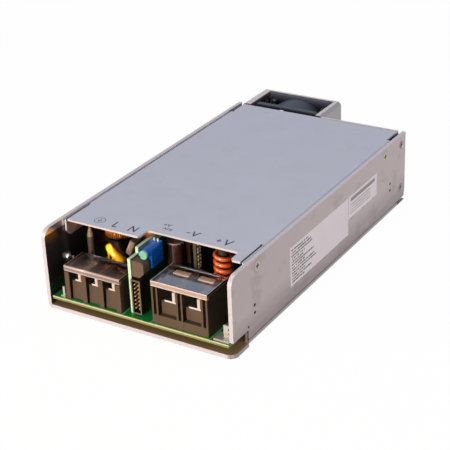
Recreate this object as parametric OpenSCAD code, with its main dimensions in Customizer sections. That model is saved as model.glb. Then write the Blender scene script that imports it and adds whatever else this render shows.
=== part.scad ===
// Enclosed open-front power supply: a folded case with a lift-off cover, a main board with
// a mains terminal block, an output terminal block and a signal board at its front,
// and a small fan in a pocket of the rear panel.
// The case's front lip is the datum for lengths; the origin is under the middle of the whole part.

/* [Case] */
// Outer width of the folded case
case_w = 101.6; // [90:0.2:114]
// Length of the case from its front lip to its rear panel
case_l = 179; // [160:0.5:200]
// Outer height of the case
case_h = 40.6; // [36.5:0.1:46]
// Thickness of the case sheet
sheet_t = 2; // [1.5:0.1:2.4]
// Inside radius of the two long folds
fold_r = 0.6; // [0.3:0.1:1.2]
// Radius of each side wall's front top corner
wall_corner_r = 5; // [2:0.5:8]
// Radius of the base's right front corner
base_corner_r = 4; // [1:0.5:6]
// Length of the gap under the right side wall at the front
front_gap_l = 13; // [8:0.5:16]
// Height of the wall's lower edge over that gap
front_gap_z = 8.6; // [7.5:0.1:11]
// Length of the slit between base and wall at the rear
rear_slit_l = 9.5; // [5:0.5:14]
// Height of that slit
rear_slit_h = 2; // [1:0.1:3]

/* [Cover] */
// Thickness of the cover sheet
cover_t = 1; // [0.8:0.1:1.4]
// Distance of the cover's top below the side walls' tops
cover_drop = 0.1; // [0.05:0.05:0.3]
// Gap between the cover's flanges and the side walls
cover_gap = 0.3; // [0.2:0.05:0.5]
// Distance of the cover's front edge behind the case's front lip
cover_front = 15; // [12:0.5:18]
// Gap between the cover's recess and the open output lid
recess_clear = 0.6; // [0.4:0.1:3]
// Distance of the recess's right end from the case's right face
recess_from_right = 9.3; // [7:0.1:12]
// Corner radius of the recess
recess_r = 1.6; // [0.8:0.1:2.5]
// Height of the cover's side flanges
flange_h = 9; // [7:0.5:12]
// Length of the slots beside the flanges at the front
front_slot_l = 18; // [10:0.5:24]
// Length of the flangeless corners at the rear
rear_slot_l = 13.2; // [10:0.2:18]
// Width of the slots beside the flanges
slot_w = 0.9; // [0.6:0.1:1.4]

/* [Fan] */
// Gap between the square fan and the case's top and bottom faces
fan_end_gap = 0.3; // [0.2:0.05:0.8]
// Distance from the fan's sides to its bore
fan_wall = 1.4; // [1.2:0.1:2.4]
// Depth of the fan
fan_depth = 20; // [15:0.5:25]
// Distance of the fan's screw holes from its sides
fan_hole_inset = 4; // [3.6:0.1:4.4]
// Diameter of the fan's hub
fan_hub = 18.6; // [15:0.2:20]
// Number of blades
fan_blades = 7; // [5:1:9]
// Diameter of the fan's shaft
fan_shaft = 2; // [1.5:0.1:3]
// Running clearance round the shaft
shaft_clear = 0.05; // [0.02:0.01:0.09]
// Gap between the fan and the pocket's left side
fan_left_gap = 4.3; // [3:0.1:6]
// Gap between the fan and the pocket's right side
fan_right_gap = 2.8; // [2:0.1:5]
// Space in front of the fan inside the pocket
fan_front_gap = 3; // [1:0.2:6]
// Thickness of the rear panel's sheet
panel_t = 1.2; // [1:0.1:1.6]

/* [Board] */
// Thickness of the main board
board_t = 1.6; // [1.2:0.1:2]
// Height of the board over the base
board_lift = 3.2; // [2.5:0.1:4.5]
// Gap between the board's long edges and the side walls
board_side_gap = 0.8; // [0.4:0.1:1.5]
// Distance of the board's front edge behind the case's front lip
board_front = 0.5; // [0.3:0.1:2]

/* [Mains terminals] */
// Number of mains poles
ac_poles = 3; // [2:1:3]
// Spacing of the mains poles
ac_pitch = 9.55; // [9:0.05:10]
// Thickness of the mains barrier walls
ac_wall = 2.6; // [1.8:0.1:2.8]
// Depth of the mains block
ac_depth = 15; // [14:0.2:16]
// Height of the mains barrier walls over the board
ac_h = 15.7; // [15:0.1:17]
// Height of the mains ledges over the board
ac_ledge_h = 9.1; // [8:0.1:9.8]

/* [Output terminals] */
// Number of output poles
dc_poles = 2; // [2:1:2]
// Spacing of the output poles
dc_pitch = 13; // [12:0.1:13.4]
// Thickness of the output barrier walls
dc_wall = 3.4; // [2.8:0.1:3.8]
// Depth of the output block
dc_depth = 18.6; // [17.5:0.1:19]
// Height of the output barrier walls over the board
dc_h = 20; // [19:0.1:21]
// Height of the output ledges over the board
dc_ledge_h = 10.8; // [10:0.1:12.5]
// Height of the plinth under the output ledges
dc_plinth_h = 4.5; // [3:0.1:6]
// Width of the groove in the front of each output barrier
groove_w = 1.5; // [1:0.1:1.8]

/* [Spare width beside the terminals] */
// Part of it that lies left of the mains block
left_part = 8; // [5:0.1:9]
// Part of it between the mains block and the signal board
signal_part = 3.55; // [2:0.05:5]
// Part of it between the signal board's housing and the output block
middle_part = 5.7; // [3:0.1:7]
// Part of it that lies right of the output block
right_part = 11.7; // [10:0.1:15]

/* [Terminal lids] */
// Distance of both blocks behind the case's front lip
block_front = 1.8; // [1:0.1:2.5]
// Thickness of the clear lids
lid_t = 1.1; // [0.8:0.1:1.4]
// Gap between a lid and the barrier walls
lid_gap = 0.3; // [0.2:0.05:0.5]
// Depth of the lip along a lid's front edge
lip_h = 1.5; // [0.8:0.1:1.6]
// Diameter of the lid's hinge pins
hinge_pin_d = 1.4; // [1:0.1:1.6]
// Running clearance round the hinge pins
hinge_clear = 0.05; // [0.02:0.01:0.09]

/* [Signal board] */
// Distance of the signal board behind the case's front lip
signal_front = 4.5; // [4:0.1:7]
// Length of the signal board
signal_l = 43; // [30:0.5:50]
// Length of the low step at the signal board's front
signal_step_l = 6.6; // [4:0.1:8]
// Pin rows of the signal socket
pin_rows = 7; // [4:1:7]
// Spacing of the signal pins
pin_pitch = 2; // [1.8:0.1:2.1]
// Diameter of the trimmer's rotor
rotor_d = 4.2; // [3:0.1:4.4]
// Diameter of the trimmer's spindle
spindle_d = 2; // [1.2:0.1:2.4]

/* [Coils] */
// Outer radius of the line choke's winding
choke_r = 7.5; // [7.3:0.1:8]
// Turns of the line choke
choke_turns = 38; // [20:1:40]
// Wire diameter of the line choke
choke_wire = 0.66; // [0.4:0.02:0.68]
// Mean radius of the output choke's turns
coil_r = 3.55; // [3.4:0.05:4]
// Wire diameter of the output choke
coil_wire = 2.2; // [1.6:0.1:2.6]
// Least gap between the output choke's turns
coil_gap = 0.8; // [0.3:0.05:1]

/* [Mounting] */
// Distance of the tapped mounting holes from the case's sides
mount_side = 9.5; // [8:0.1:14]
// Distance of the front mounting holes behind the case's front lip
mount_front = 20; // [16:0.1:24]
// Distance of the rear mounting holes from the case's rear
mount_rear = 19.3; // [17:0.1:24]
// Tapping diameter of the mounting holes
mount_d = 3.3; // [2.5:0.1:4.2]

/* [Hidden] */
$fn = 48;
cut = 1;

// Sheet metal
half_w = case_w / 2;
inner_x = half_w - sheet_t;
bend_r = sheet_t + fold_r;
relief_r = 0.6;
rear_relief = 1;
cover_x = inner_x - cover_gap;
cover_top = case_h - cover_drop;
cover_under = cover_top - cover_t;
cover_bend_r = cover_t + 0.5;
cover_rear = case_l - panel_t - cover_gap;
panel_fold = 0.6;
panel_bend = panel_t + panel_fold;
flange_l = rear_slot_l - panel_bend - 1.6;

// Fan and its pocket
fan_size = case_h - 2 * fan_end_gap;
fan_bore = fan_size - 2 * fan_wall;
fan_pitch = fan_size - 2 * fan_hole_inset;
pocket_x0 = -inner_x + cover_gap;
fan_x0 = pocket_x0 + panel_t + fan_left_gap;
fan_x = fan_x0 + fan_size / 2;
fan_z = case_h / 2;
pocket_x1 = fan_x0 + fan_size + fan_right_gap + panel_t;
pocket_l = fan_front_gap + fan_depth + panel_t;
panel_rear = case_l + pocket_l;
fan_rear = panel_rear - panel_t;
fan_head_h = 1.2;
overall_l = panel_rear + fan_head_h;
strip_gap = 0.3;
strip_bend = 2.4;

// Heights and the board
board_z = sheet_t + board_lift;
board_top = board_z + board_t;
board_x = inner_x - board_side_gap;
board_rear = case_l - panel_bend - flange_l - 0.5;
head_gap = 2.2;
head_z = cover_under - head_gap;
part_h = head_z - board_top;

// Fasteners
screw_r = 1.2;
screw_hole_r = 1.6;
tapped_r = 1.25;
sink_r = 2.6;
cover_screw_z = case_h - 4.5;
cover_screw_y = [cover_front + 7.4, case_l - 25];
rear_screw_r = 1;
rear_hole_r = 1.3;
rear_sink_r = 2.2;
rear_screw_y = case_l - 5.3;
rear_screw_z = [10.7, case_h - 5.4];
pilot_r = 0.8;
pilot_y = [19, case_l - 18.6];
pilot_z = [14.5, 18.3];
stud_y = 14.5;
stud_z = 21;
stud_r = 1.3;
stud_head_r = 2.4;
stud_head_h = 0.7;
stud_dome_r = 1.7;
standoff_r = 2.4;
standoff_x = board_x - 4.2;
mount_x = half_w - mount_side;
mount_y = [mount_front, case_l - mount_rear];

// Terminal blocks
signal_t = 1.6;
switch_w = 6.4;
ac_w = ac_poles * ac_pitch + ac_wall;
dc_w = dc_poles * dc_pitch + dc_wall;
spare_w = 2 * inner_x - ac_w - signal_t - switch_w - dc_w;
part_w = spare_w / (left_part + signal_part + middle_part + right_part);
ac_x0 = -inner_x + left_part * part_w;
ac_x1 = ac_x0 + ac_w;
dc_x1 = inner_x - right_part * part_w;
dc_x0 = dc_x1 - dc_w;
ac_top = board_top + ac_h;
dc_top = board_top + dc_h;
ac_ledge = board_top + ac_ledge_h;
dc_ledge = board_top + dc_ledge_h;
clamp_t = 0.8;
clamp_side_gap = 0.35;
lip_t = 1;
ear_r = 1.5;
barrel_clear = 0.4;
rear_wall = 1.4;
tab_w = 1.3;
hinge_pin_r = hinge_pin_d / 2;
dc_hinge_y = block_front + dc_depth - ear_r;
recess_d = dc_hinge_y + ear_r + lid_gap + lid_t + recess_clear - cover_front;
ac_screw_r = 2.4;
dc_screw_r = 3.2;
terminal_head_h = 1.8;
terminal_shank_r = 1.4;
terminal_bore_r = 1.6;
terminal_bore_l = 6;

// Signal board and what it carries
signal_x = ac_x1 + signal_part * part_w;
signal_face = signal_x + signal_t;
signal_top = head_z;
signal_low = signal_top - 2.9;
socket_w = 5;
socket_l = 5.5;
socket_wall = 0.7;
socket_z0 = board_top + 0.6;
socket_h = pin_rows * pin_pitch + 3.4;
socket_floor = 1.2;
pin_w = 0.5;
switch_l = 4.9;
switch_y = signal_front + 0.6;
switch_z0 = socket_z0 + socket_h + 0.8;
switch_top = signal_low - 0.8;
trimmer_l = 8.8;
trimmer_w = 4.8;
trimmer_r = trimmer_w / 2;
trimmer_stand = 2.4;
trimmer_drop = 7.6;
trimmer_x0 = signal_face + trimmer_stand;
trimmer_axis_x = trimmer_x0 + trimmer_r;
trimmer_nose = 2.2;
trimmer_block = 2.6;
trimmer_foot = 1.2;
rotor_t = 1.1;
rotor_gap = 0.15;
rotor_clear = 0.35;
rotor_y = switch_y + 3.85;
trimmer_axis_z = switch_top + rotor_clear + rotor_d / 2;
trimmer_z0 = trimmer_axis_z - trimmer_drop;
trimmer_y0 = rotor_y + trimmer_nose;
spindle_l = 3;

// Parts on the board, measured back from the front lip
choke_x = ac_x0 + 5.8;
choke_y = 39.5;
choke_z0 = board_top + 16.7;
choke_top = head_z - 0.6;
choke_in_r = choke_r - 3;
choke_core_gap = 0.18;
boss_h = 4;
disc_x = ac_x0 + 13.2;
disc_y = 25;
disc_z = board_top + 15.4;
disc_r = 6.3;
disc_t = 3.8;
disc_edge = 1.8;
disc_tilt = 50;
disc_turn = 50;
fuse_x = ac_x0 - 0.5;
fuse_y = 24;
fuse_r = 1.6;
film_x = ac_x0 + 19.9;
film_y = 30;
film_z = board_top + 19;
film_lean = 25;
film_w = 3.2;
film_l = 6;
film_h = 8;
coil_x = dc_x0 + 22.5;
coil_y = 27.5;
rod_foot = 2.4;
coil_lift = 0.3;
coil_head = 0.75;
coil_room = part_h - rod_foot - coil_lift - coil_wire - coil_head;
coil_turns = floor(coil_room / (coil_wire + coil_gap));
coil_pitch = coil_room / coil_turns;
rect_x = dc_x0 + 7.5;
rect_y = 26;
rect_l = 44;
pad_r = 0.42;
pad_step = 1.25;
pad_y = [1.4, 3.2];
can_r = 4;
can_x = signal_face + 8;
can_y = 29;
can_h = part_h - 2.6;
core_w = 24;
core_l = 30;
core_end = 5;
core_leg = 6;
core_x0 = rect_x - 0.8 - core_w;
core_y = signal_front + signal_l + 1.5;
out_cap_r = 5;
out_cap_h = 20;
out_cap_gap = 1.5;
out_cap_y = coil_y + 18.5;
boost_gap = 4;
boost_r = (core_x0 + inner_x) / 2 - boost_gap;
boost_in_r = boost_r / 3;
boost_h = 18;
sink_x = -inner_x + 6;
sink_t = 3;
sink_l = 40;
sink_y = board_rear - sink_l - 15;
fin_l = 5.5;
fin_t = 1.2;
fins = 5;
bulk_gap = 4.2;
bulk_r = (inner_x - sink_x - sink_t - fin_l - 4 * bulk_gap) / 6;
bulk_y = sink_y + 2;
standoff_y = [32, (core_y + core_l + bulk_y - bulk_r) / 2, board_rear - 3.4];
transistor_t = 4.6;
transistor_h = 20;

function unit(v) = v / norm(v);

// Moves what is measured from the case's front lip into the part's own frame
module from_front() {
    translate([0, -overall_l / 2, 0]) children();
}

// Turns an outline of lengths and heights into a plate of thickness t that starts at x
module side_plate(x, t) {
    translate([x, 0, 0]) rotate([90, 0, 90]) linear_extrude(t) children();
}

// Turns an outline of widths and heights into a run along the part from y to y + l
module run(y, l) {
    translate([0, y + l, 0]) rotate([90, 0, 0]) linear_extrude(l) children();
}

// A rod along X, from x over length l
module rod_x(x, y, z, l, r) {
    translate([x, y, z]) rotate([0, 90, 0]) cylinder(h = l, r = r);
}

// A rectangle with round corners
module round_rect(w, h, r) {
    translate([r, 0]) square([w - 2 * r, h]);
    translate([0, r]) square([w, h - 2 * r]);
    for (x = [r, w - r], y = [r, h - r]) translate([x, y]) circle(r);
}

// A quarter of a ring of sheet, bent round the origin inside the first quadrant
module quarter_bend(r_in, t) {
    intersection() {
        difference() {
            circle(r_in + t);
            circle(r_in);
        }
        square(r_in + t + cut);
    }
}

// A slotted screw with its head's underside at the origin, its shank along -Z
module pan_screw(head_r, head_h, shank_r, shank_l) {
    difference() {
        union() {
            cylinder(h = head_h, r = head_r);
            translate([0, 0, -shank_l]) cylinder(h = shank_l + head_h / 2, r = shank_r);
        }
        translate([-head_r - cut, -0.35, head_h - 0.7]) cube([2 * head_r + 2 * cut, 0.7, cut]);
    }
}

// A countersunk screw with its flat face at the origin, its shank along -Z
module flat_screw(head_r, shank_r, length) {
    difference() {
        union() {
            translate([0, 0, shank_r - head_r]) cylinder(h = head_r - shank_r, r1 = shank_r, r2 = head_r);
            translate([0, 0, -length]) cylinder(h = length, r = shank_r);
        }
        for (a = [0, 90]) rotate(a) translate([-1.3, -0.25, -0.5]) cube([2.6, 0.5, cut]);
    }
}

// The hole that a countersunk screw sits in, through a sheet of thickness t
module sunk_hole(head_r, hole_r, t) {
    translate([0, 0, -t - cut]) cylinder(h = t + 2 * cut, r = hole_r);
    translate([0, 0, hole_r - head_r - 0.1]) cylinder(h = head_r - hole_r + 0.1, r1 = hole_r, r2 = head_r + 0.1);
}

// Puts a shape whose outward axis is +Z onto the outside of a side wall
module on_wall(side, y, z) {
    translate([side * half_w, y, z]) rotate([0, side * 90, 0]) children();
}

// A wire swept round a list of points: across is a direction at each point square to the wire
module wire(points, across, d, sides) {
    n = len(points);
    ring = [for (i = [0 : n - 1])
        let (along = unit(points[min(i + 1, n - 1)] - points[max(i - 1, 0)]),
            other = unit(cross(along, across[i])))
        for (k = [0 : sides - 1])
            points[i] + d / 2 * (cos(360 * k / sides) * across[i] + sin(360 * k / sides) * other)];
    wall = [for (i = [0 : n - 2], k = [0 : sides - 1])
        let (a = i * sides + k, b = i * sides + (k + 1) % sides)
        [a, a + sides, b + sides, b]];
    first = [for (k = [0 : sides - 1]) k];
    last = [for (k = [sides - 1 : -1 : 0]) (n - 1) * sides + k];
    polyhedron(points = ring, faces = concat(wall, [first, last]), convexity = 10);
}

// Folded case

module chassis_section() {
    difference() {
        union() {
            translate([-half_w, bend_r]) square([case_w, case_h - bend_r]);
            translate([-half_w + bend_r, 0]) square([case_w - 2 * bend_r, bend_r]);
            for (s = [-1, 1]) translate([s * (half_w - bend_r), bend_r]) circle(bend_r);
        }
        translate([-inner_x, bend_r]) square([2 * inner_x, case_h]);
        translate([-inner_x + fold_r, sheet_t]) square([2 * (inner_x - fold_r), case_h]);
        for (s = [-1, 1]) translate([s * (inner_x - fold_r), bend_r]) circle(fold_r);
    }
}

// What rounds off a side wall's front top corner, in lengths and heights
module wall_corner() {
    difference() {
        translate([-cut, case_h - wall_corner_r]) square(wall_corner_r + cut);
        translate([wall_corner_r, case_h - wall_corner_r]) circle(wall_corner_r);
    }
}

// Right half of the base's front, flat to its rounded corner
module base_tongue() {
    square([half_w - base_corner_r, front_gap_l + cut]);
    translate([0, base_corner_r]) square([half_w, front_gap_l - base_corner_r]);
    translate([half_w - base_corner_r, base_corner_r]) circle(base_corner_r);
}

module chassis() {
    color([0.76, 0.74, 0.75]) from_front() difference() {
        union() {
            run(front_gap_l, case_l - front_gap_l) chassis_section();
            // Left half reaches the front; the right wall is cut free of the base there
            run(0, front_gap_l + cut) intersection() {
                chassis_section();
                translate([-case_w, 0]) square([case_w, 2 * case_h]);
            }
            side_plate(inner_x, sheet_t) translate([0, front_gap_z])
                square([front_gap_l + cut, case_h - front_gap_z]);
            linear_extrude(sheet_t) base_tongue();
        }
        rod_x(inner_x - cut, front_gap_l + 0.2, front_gap_z + 1.4, sheet_t + 2 * cut, relief_r);
        for (s = [-1, 1]) {
            side_plate(s * half_w - bend_r, 2 * bend_r) wall_corner();
            translate([s * half_w - bend_r, case_l - rear_slit_l, sheet_t])
                cube([2 * bend_r, rear_slit_l + cut, rear_slit_h]);
            side_plate(s * half_w - bend_r, 2 * bend_r) polygon([
                [case_l - rear_relief, sheet_t + rear_slit_h - cut],
                [case_l + cut, sheet_t + rear_slit_h - cut],
                [case_l + cut, sheet_t + rear_slit_h + 4 * (rear_relief + cut)],
                [case_l - rear_relief, sheet_t + rear_slit_h]]);
            for (y = cover_screw_y) on_wall(s, y, cover_screw_z) sunk_hole(sink_r, screw_hole_r, sheet_t);
            for (z = rear_screw_z) on_wall(s, rear_screw_y, z) sunk_hole(rear_sink_r, rear_hole_r, sheet_t);
            for (y = pilot_y, z = pilot_z) rod_x(s * half_w - sheet_t - cut, y, z, 2 * sheet_t + 2 * cut, pilot_r);
        }
        side_plate(half_w - label_t, label_t + cut) label_fields();
        on_wall(-1, stud_y, stud_z) translate([0, 0, -sheet_t - cut]) cylinder(h = sheet_t + 2 * cut, r = stud_r + 0.05);
        for (x = [-mount_x, mount_x], y = mount_y)
            translate([x, y, -cut]) cylinder(h = sheet_t + 2 * cut, d = mount_d);
    }
}

// Cover

module cover_section() {
    translate([-cover_x + cover_bend_r, cover_under]) square([2 * (cover_x - cover_bend_r), cover_t]);
    for (s = [-1, 1]) {
        translate([s * (cover_x - cover_t / 2) - cover_t / 2, cover_top - flange_h])
            square([cover_t, flange_h - cover_bend_r]);
        translate([s * (cover_x - cover_bend_r), cover_top - cover_bend_r]) mirror([s < 0 ? 1 : 0, 0])
            quarter_bend(cover_bend_r - cover_t, cover_t);
    }
}

// Plan of the recess over the trimmer and the output lid, with round corners
module cover_recess() {
    x0 = signal_x - 0.4;
    w = half_w - recess_from_right - x0;
    translate([x0, cover_front - recess_d]) round_rect(w, 2 * recess_d, recess_r);
    for (m = [0, 1]) translate([m == 0 ? x0 : x0 + w, cover_front]) mirror([m, 0]) difference() {
        translate([-recess_r, -cut]) square([recess_r + cut / 2, recess_r + cut]);
        translate([-recess_r, recess_r]) circle(recess_r);
    }
}

module top_cover() {
    slot_x = cover_x - cover_t - slot_w / 2;
    rear_y = case_l - rear_slot_l;
    color([0.70, 0.70, 0.74]) from_front() difference() {
        run(cover_front, cover_rear - cover_front) cover_section();
        translate([0, 0, cover_under - cut]) linear_extrude(cover_t + 2 * cut) cover_recess();
        for (s = [-1, 1]) {
            translate([s * slot_x - slot_w / 2, cover_front - cut, cover_under - cut])
                cube([slot_w, front_slot_l + cut, cover_t + 2 * cut]);
            translate([s * slot_x, cover_front + front_slot_l, cover_under - cut])
                cylinder(h = cover_t + 2 * cut, r = slot_w);
            translate([s * slot_x, rear_y, cover_under - cut]) cylinder(h = cover_t + 2 * cut, r = slot_w);
            translate([s > 0 ? slot_x - slot_w / 2 : -cover_x - cut, rear_y, cover_top - flange_h - cut])
                cube([cover_x - slot_x + slot_w / 2 + cut, case_l, flange_h + 2 * cut]);
            side_plate(s * (cover_x - cover_t / 2) - cover_t, 2 * cover_t) polygon([
                [cover_front - cut, cover_top - flange_h - cut],
                [cover_front + 3, cover_top - flange_h - cut],
                [cover_front - cut, cover_top - flange_h + 4]]);
            for (y = cover_screw_y) rod_x(s * (cover_x - cover_t / 2) - cover_t, y, cover_screw_z, 2 * cover_t, tapped_r);
        }
    }
}

module cover_screws() {
    color([0.72, 0.68, 0.55]) from_front() for (s = [-1, 1], y = cover_screw_y)
        on_wall(s, y, cover_screw_z) flat_screw(sink_r, screw_r, sheet_t + cover_gap + cover_t + 1);
}

// Rear panel with its fan pocket: one folded sheet

// Concentric finger guard behind the fan, as slots in the sheet
module guard_slots() {
    bar = 1.5;
    step = (fan_bore / 2 - 5) / 3;
    difference() {
        for (i = [0 : 2]) difference() {
            circle(5 + (i + 1) * step);
            circle(5 + i * step + bar);
        }
        for (a = [45, 135]) rotate(a) translate([-fan_size, -1]) square([2 * fan_size, 2]);
    }
}

// A pocket side and its top and bottom strips, in widths and heights, with the outer face at x = 0
module pocket_side(strip_w) {
    for (m = [0, 1]) translate([0, m * case_h]) mirror([0, m]) {
        translate([strip_bend, 0]) square([strip_w - strip_bend, panel_t]);
        translate([strip_bend, strip_bend]) rotate(180) quarter_bend(strip_bend - panel_t, panel_t);
    }
    translate([0, strip_bend]) square([panel_t, case_h - 2 * strip_bend]);
}

module rear_panel() {
    left_strip = panel_t + fan_left_gap - strip_gap;
    right_strip = panel_t + fan_right_gap - strip_gap;
    flange_z0 = sheet_t + rear_slit_h + 0.4;
    flange_top = cover_under - 0.6;
    back_h = case_h - flange_z0;
    color([0.74, 0.73, 0.75]) from_front() difference() {
        union() {
            // Sheet across the right half of the rear
            translate([pocket_x1 + panel_fold, case_l - panel_t, flange_z0])
                cube([cover_x - panel_bend - pocket_x1 - panel_fold, panel_t, back_h]);
            // Right flange inside the case wall
            translate([cover_x - panel_bend, case_l - panel_bend, flange_z0]) linear_extrude(flange_top - flange_z0)
                quarter_bend(panel_fold, panel_t);
            translate([cover_x - panel_t, case_l - panel_bend - flange_l, flange_z0])
                cube([panel_t, flange_l, flange_top - flange_z0]);
            // Fold from the rear sheet into the pocket's right side
            translate([pocket_x1 + panel_fold, case_l + panel_fold, flange_z0]) rotate(180)
                linear_extrude(back_h - strip_bend) quarter_bend(panel_fold, panel_t);
            // Pocket sides with their strips, and the folds to the back
            translate([pocket_x1, 0, 0]) mirror([1, 0, 0])
                run(case_l + panel_fold, pocket_l - panel_fold - panel_t) pocket_side(right_strip);
            translate([pocket_x0, 0, 0]) run(case_l, pocket_l - panel_t) pocket_side(left_strip);
            // Left flange inside the case wall
            translate([pocket_x0, case_l - panel_bend - flange_l, flange_z0])
                cube([panel_t, flange_l + panel_bend + cut, flange_top - flange_z0]);
            // Back of the pocket, with the finger guard
            run(fan_rear, panel_t) difference() {
                translate([pocket_x0, 0]) round_rect(pocket_x1 - pocket_x0, case_h, strip_bend);
                translate([fan_x, fan_z]) guard_slots();
                for (x = [-1, 1], z = [-1, 1]) translate([fan_x + x * fan_pitch / 2, fan_z + z * fan_pitch / 2])
                    circle(screw_hole_r);
            }
        }
        for (s = [-1, 1], z = rear_screw_z)
            rod_x(s * (cover_x - panel_t / 2) - panel_t, rear_screw_y, z, 2 * panel_t, rear_screw_r + 0.05);
    }
}

module rear_screws() {
    color([0.55, 0.54, 0.53]) from_front() for (s = [-1, 1], z = rear_screw_z)
        on_wall(s, rear_screw_y, z) flat_screw(rear_sink_r - 0.1, rear_screw_r, sheet_t + cover_gap + panel_t + 0.8);
}

// Earth stud on the left wall beside the mains block
module earth_stud() {
    color([0.80, 0.79, 0.76]) from_front() translate([-half_w, stud_y, stud_z]) rotate([0, 90, 0]) {
        cylinder(h = sheet_t + stud_head_h / 2, r = stud_r);
        translate([0, 0, sheet_t]) cylinder(h = stud_head_h, r = stud_head_r);
        intersection() {
            translate([0, 0, sheet_t + stud_head_h]) sphere(stud_dome_r);
            translate([0, 0, sheet_t + stud_head_h / 2]) cylinder(h = 2 * stud_dome_r, r = stud_head_r);
        }
    }
}

// Board and what holds it

module at_standoffs() {
    for (x = [-standoff_x, standoff_x], y = standoff_y) translate([x, y, 0]) children();
}

module board_standoffs() {
    color([0.72, 0.70, 0.62]) from_front() at_standoffs() translate([0, 0, sheet_t]) difference() {
        cylinder(h = board_lift, r = standoff_r);
        translate([0, 0, 0.6]) cylinder(h = board_lift, r = tapped_r);
    }
}

module board_screws() {
    color([0.78, 0.77, 0.74]) from_front() at_standoffs() translate([0, 0, board_top])
        pan_screw(2.6, 1.6, screw_r, board_t + board_lift - 1);
}

module main_board() {
    color([0.06, 0.42, 0.22]) from_front() difference() {
        translate([-board_x, board_front, board_z]) cube([2 * board_x, board_rear - board_front, board_t]);
        at_standoffs() translate([0, 0, board_z - cut]) cylinder(h = board_t + 2 * cut, r = screw_hole_r);
    }
}

// Angle at the board's front right corner, with two holes in its upright
module earth_bracket() {
    x1 = board_x - 0.4;
    foot_w = 0.757 * (x1 - dc_x1);
    up_w = 0.57 * foot_w;
    up_h = 6.7;
    foot_l = 6.4;
    t = 0.9;
    color([0.85, 0.84, 0.80]) from_front() translate([0, board_front + 1, board_top]) {
        translate([x1 - foot_w, 0, 0]) cube([foot_w, foot_l, t]);
        difference() {
            translate([x1 - up_w, foot_l / 2, 0]) cube([up_w, t, up_h]);
            for (z = [0.4 * up_h, 0.72 * up_h]) translate([x1 - up_w / 3, foot_l / 2 - cut, z])
                rotate([-90, 0, 0]) cylinder(h = t + 2 * cut, r = 0.7);
        }
    }
}

module front_post() {
    color([0.85, 0.84, 0.80]) from_front() translate([ac_x0 - 1.9, board_front + 2, board_top]) {
        translate([-1.4, -0.6, 0]) cube([2.4, 3, 0.6]);
        translate([-0.6, 0, 0]) cube([1.1, 0.9, 5]);
    }
}

// Terminal blocks

// Barrier walls, rear wall and hinge ears of a block of the given poles
module barriers(x0, poles, pitch, wall, depth, h) {
    w = poles * pitch + wall;
    top = board_top + h;
    hinge_y = block_front + depth - ear_r;
    hinge_z = top - ear_r;
    room = lid_t + barrel_clear;
    difference() {
        union() {
            difference() {
                union() {
                    for (i = [0 : poles]) translate([x0 + i * pitch, block_front, board_top]) cube([wall, depth, h]);
                    translate([x0, block_front + depth - rear_wall, board_top]) cube([w, rear_wall, h]);
                }
                translate([x0 - cut, hinge_y, hinge_z]) cube([w + 2 * cut, depth, h]);
            }
            for (x = [x0, x0 + w - wall]) rod_x(x, hinge_y, hinge_z, wall, ear_r);
        }
        // Room for the lid's barrel between the ears
        translate([x0 + wall, hinge_y - room, hinge_z - room]) cube([w - 2 * wall, depth, 2 * h]);
        // Step that takes the lid's lip
        translate([x0 - cut, block_front - cut, top - lip_h - lid_gap])
            cube([w + 2 * cut, lip_t + lid_gap + cut, h]);
        rod_x(x0 - cut, hinge_y, hinge_z, w + 2 * cut, hinge_pin_r + hinge_clear);
    }
}

// Clear lid of a block: a plate over the whole block with its lip, and a barrel and pins on a web below it
module terminal_lid(x0, poles, pitch, wall, depth, h) {
    w = poles * pitch + wall;
    hinge_y = block_front + depth - ear_r;
    hinge_z = board_top + h - ear_r;
    lid_z = board_top + h + lid_gap;
    barrel_x = x0 + wall + lid_gap;
    barrel_l = w - 2 * wall - 2 * lid_gap;
    translate([x0, block_front, lid_z]) cube([w, depth - lid_gap, lid_t]);
    translate([x0, block_front, lid_z - lip_h]) cube([w, lip_t, lip_h + lid_t / 2]);
    translate([barrel_x, hinge_y - lid_t, hinge_z]) cube([barrel_l, 2 * lid_t, lid_z - hinge_z + lid_t / 2]);
    rod_x(barrel_x, hinge_y, hinge_z, barrel_l, lid_t);
    rod_x(x0 + 0.3 * wall, hinge_y, hinge_z, w - 0.6 * wall, hinge_pin_r);
}

// Tinned clamp of each pole: a plate on the ledge, a front tab and a rear upright folded forward
module clamps(x0, poles, pitch, wall, front, rear, ledge, tab_h, back_h, screw_y, fold_l) {
    w = pitch - wall - 2 * clamp_side_gap;
    for (i = [0 : poles - 1]) translate([x0 + wall + clamp_side_gap + i * pitch, 0, ledge]) difference() {
        union() {
            translate([0, front, 0]) cube([w, rear - front, clamp_t]);
            translate([w - tab_w, front, 0]) cube([tab_w, clamp_t, tab_h]);
            translate([0.4, rear - clamp_t, 0]) cube([w - 0.8, clamp_t, back_h]);
            translate([0.4, rear - fold_l, back_h - clamp_t]) cube([w - 0.8, fold_l, clamp_t]);
        }
        translate([w / 2, screw_y, -cut]) cylinder(h = clamp_t + 2 * cut, r = terminal_bore_r);
    }
}

module terminal_screws(x0, poles, pitch, wall, ledge, head_r, screw_y) {
    for (i = [0 : poles - 1]) translate([x0 + wall / 2 + pitch / 2 + i * pitch, screw_y, ledge + clamp_t])
        pan_screw(head_r, terminal_head_h, terminal_shank_r, terminal_bore_l - 0.5);
}

module screw_bores(x0, poles, pitch, wall, ledge, screw_y) {
    for (i = [0 : poles - 1]) translate([x0 + wall / 2 + pitch / 2 + i * pitch, screw_y, ledge - terminal_bore_l])
        cylinder(h = terminal_bore_l + cut, r = terminal_bore_r);
}

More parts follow.
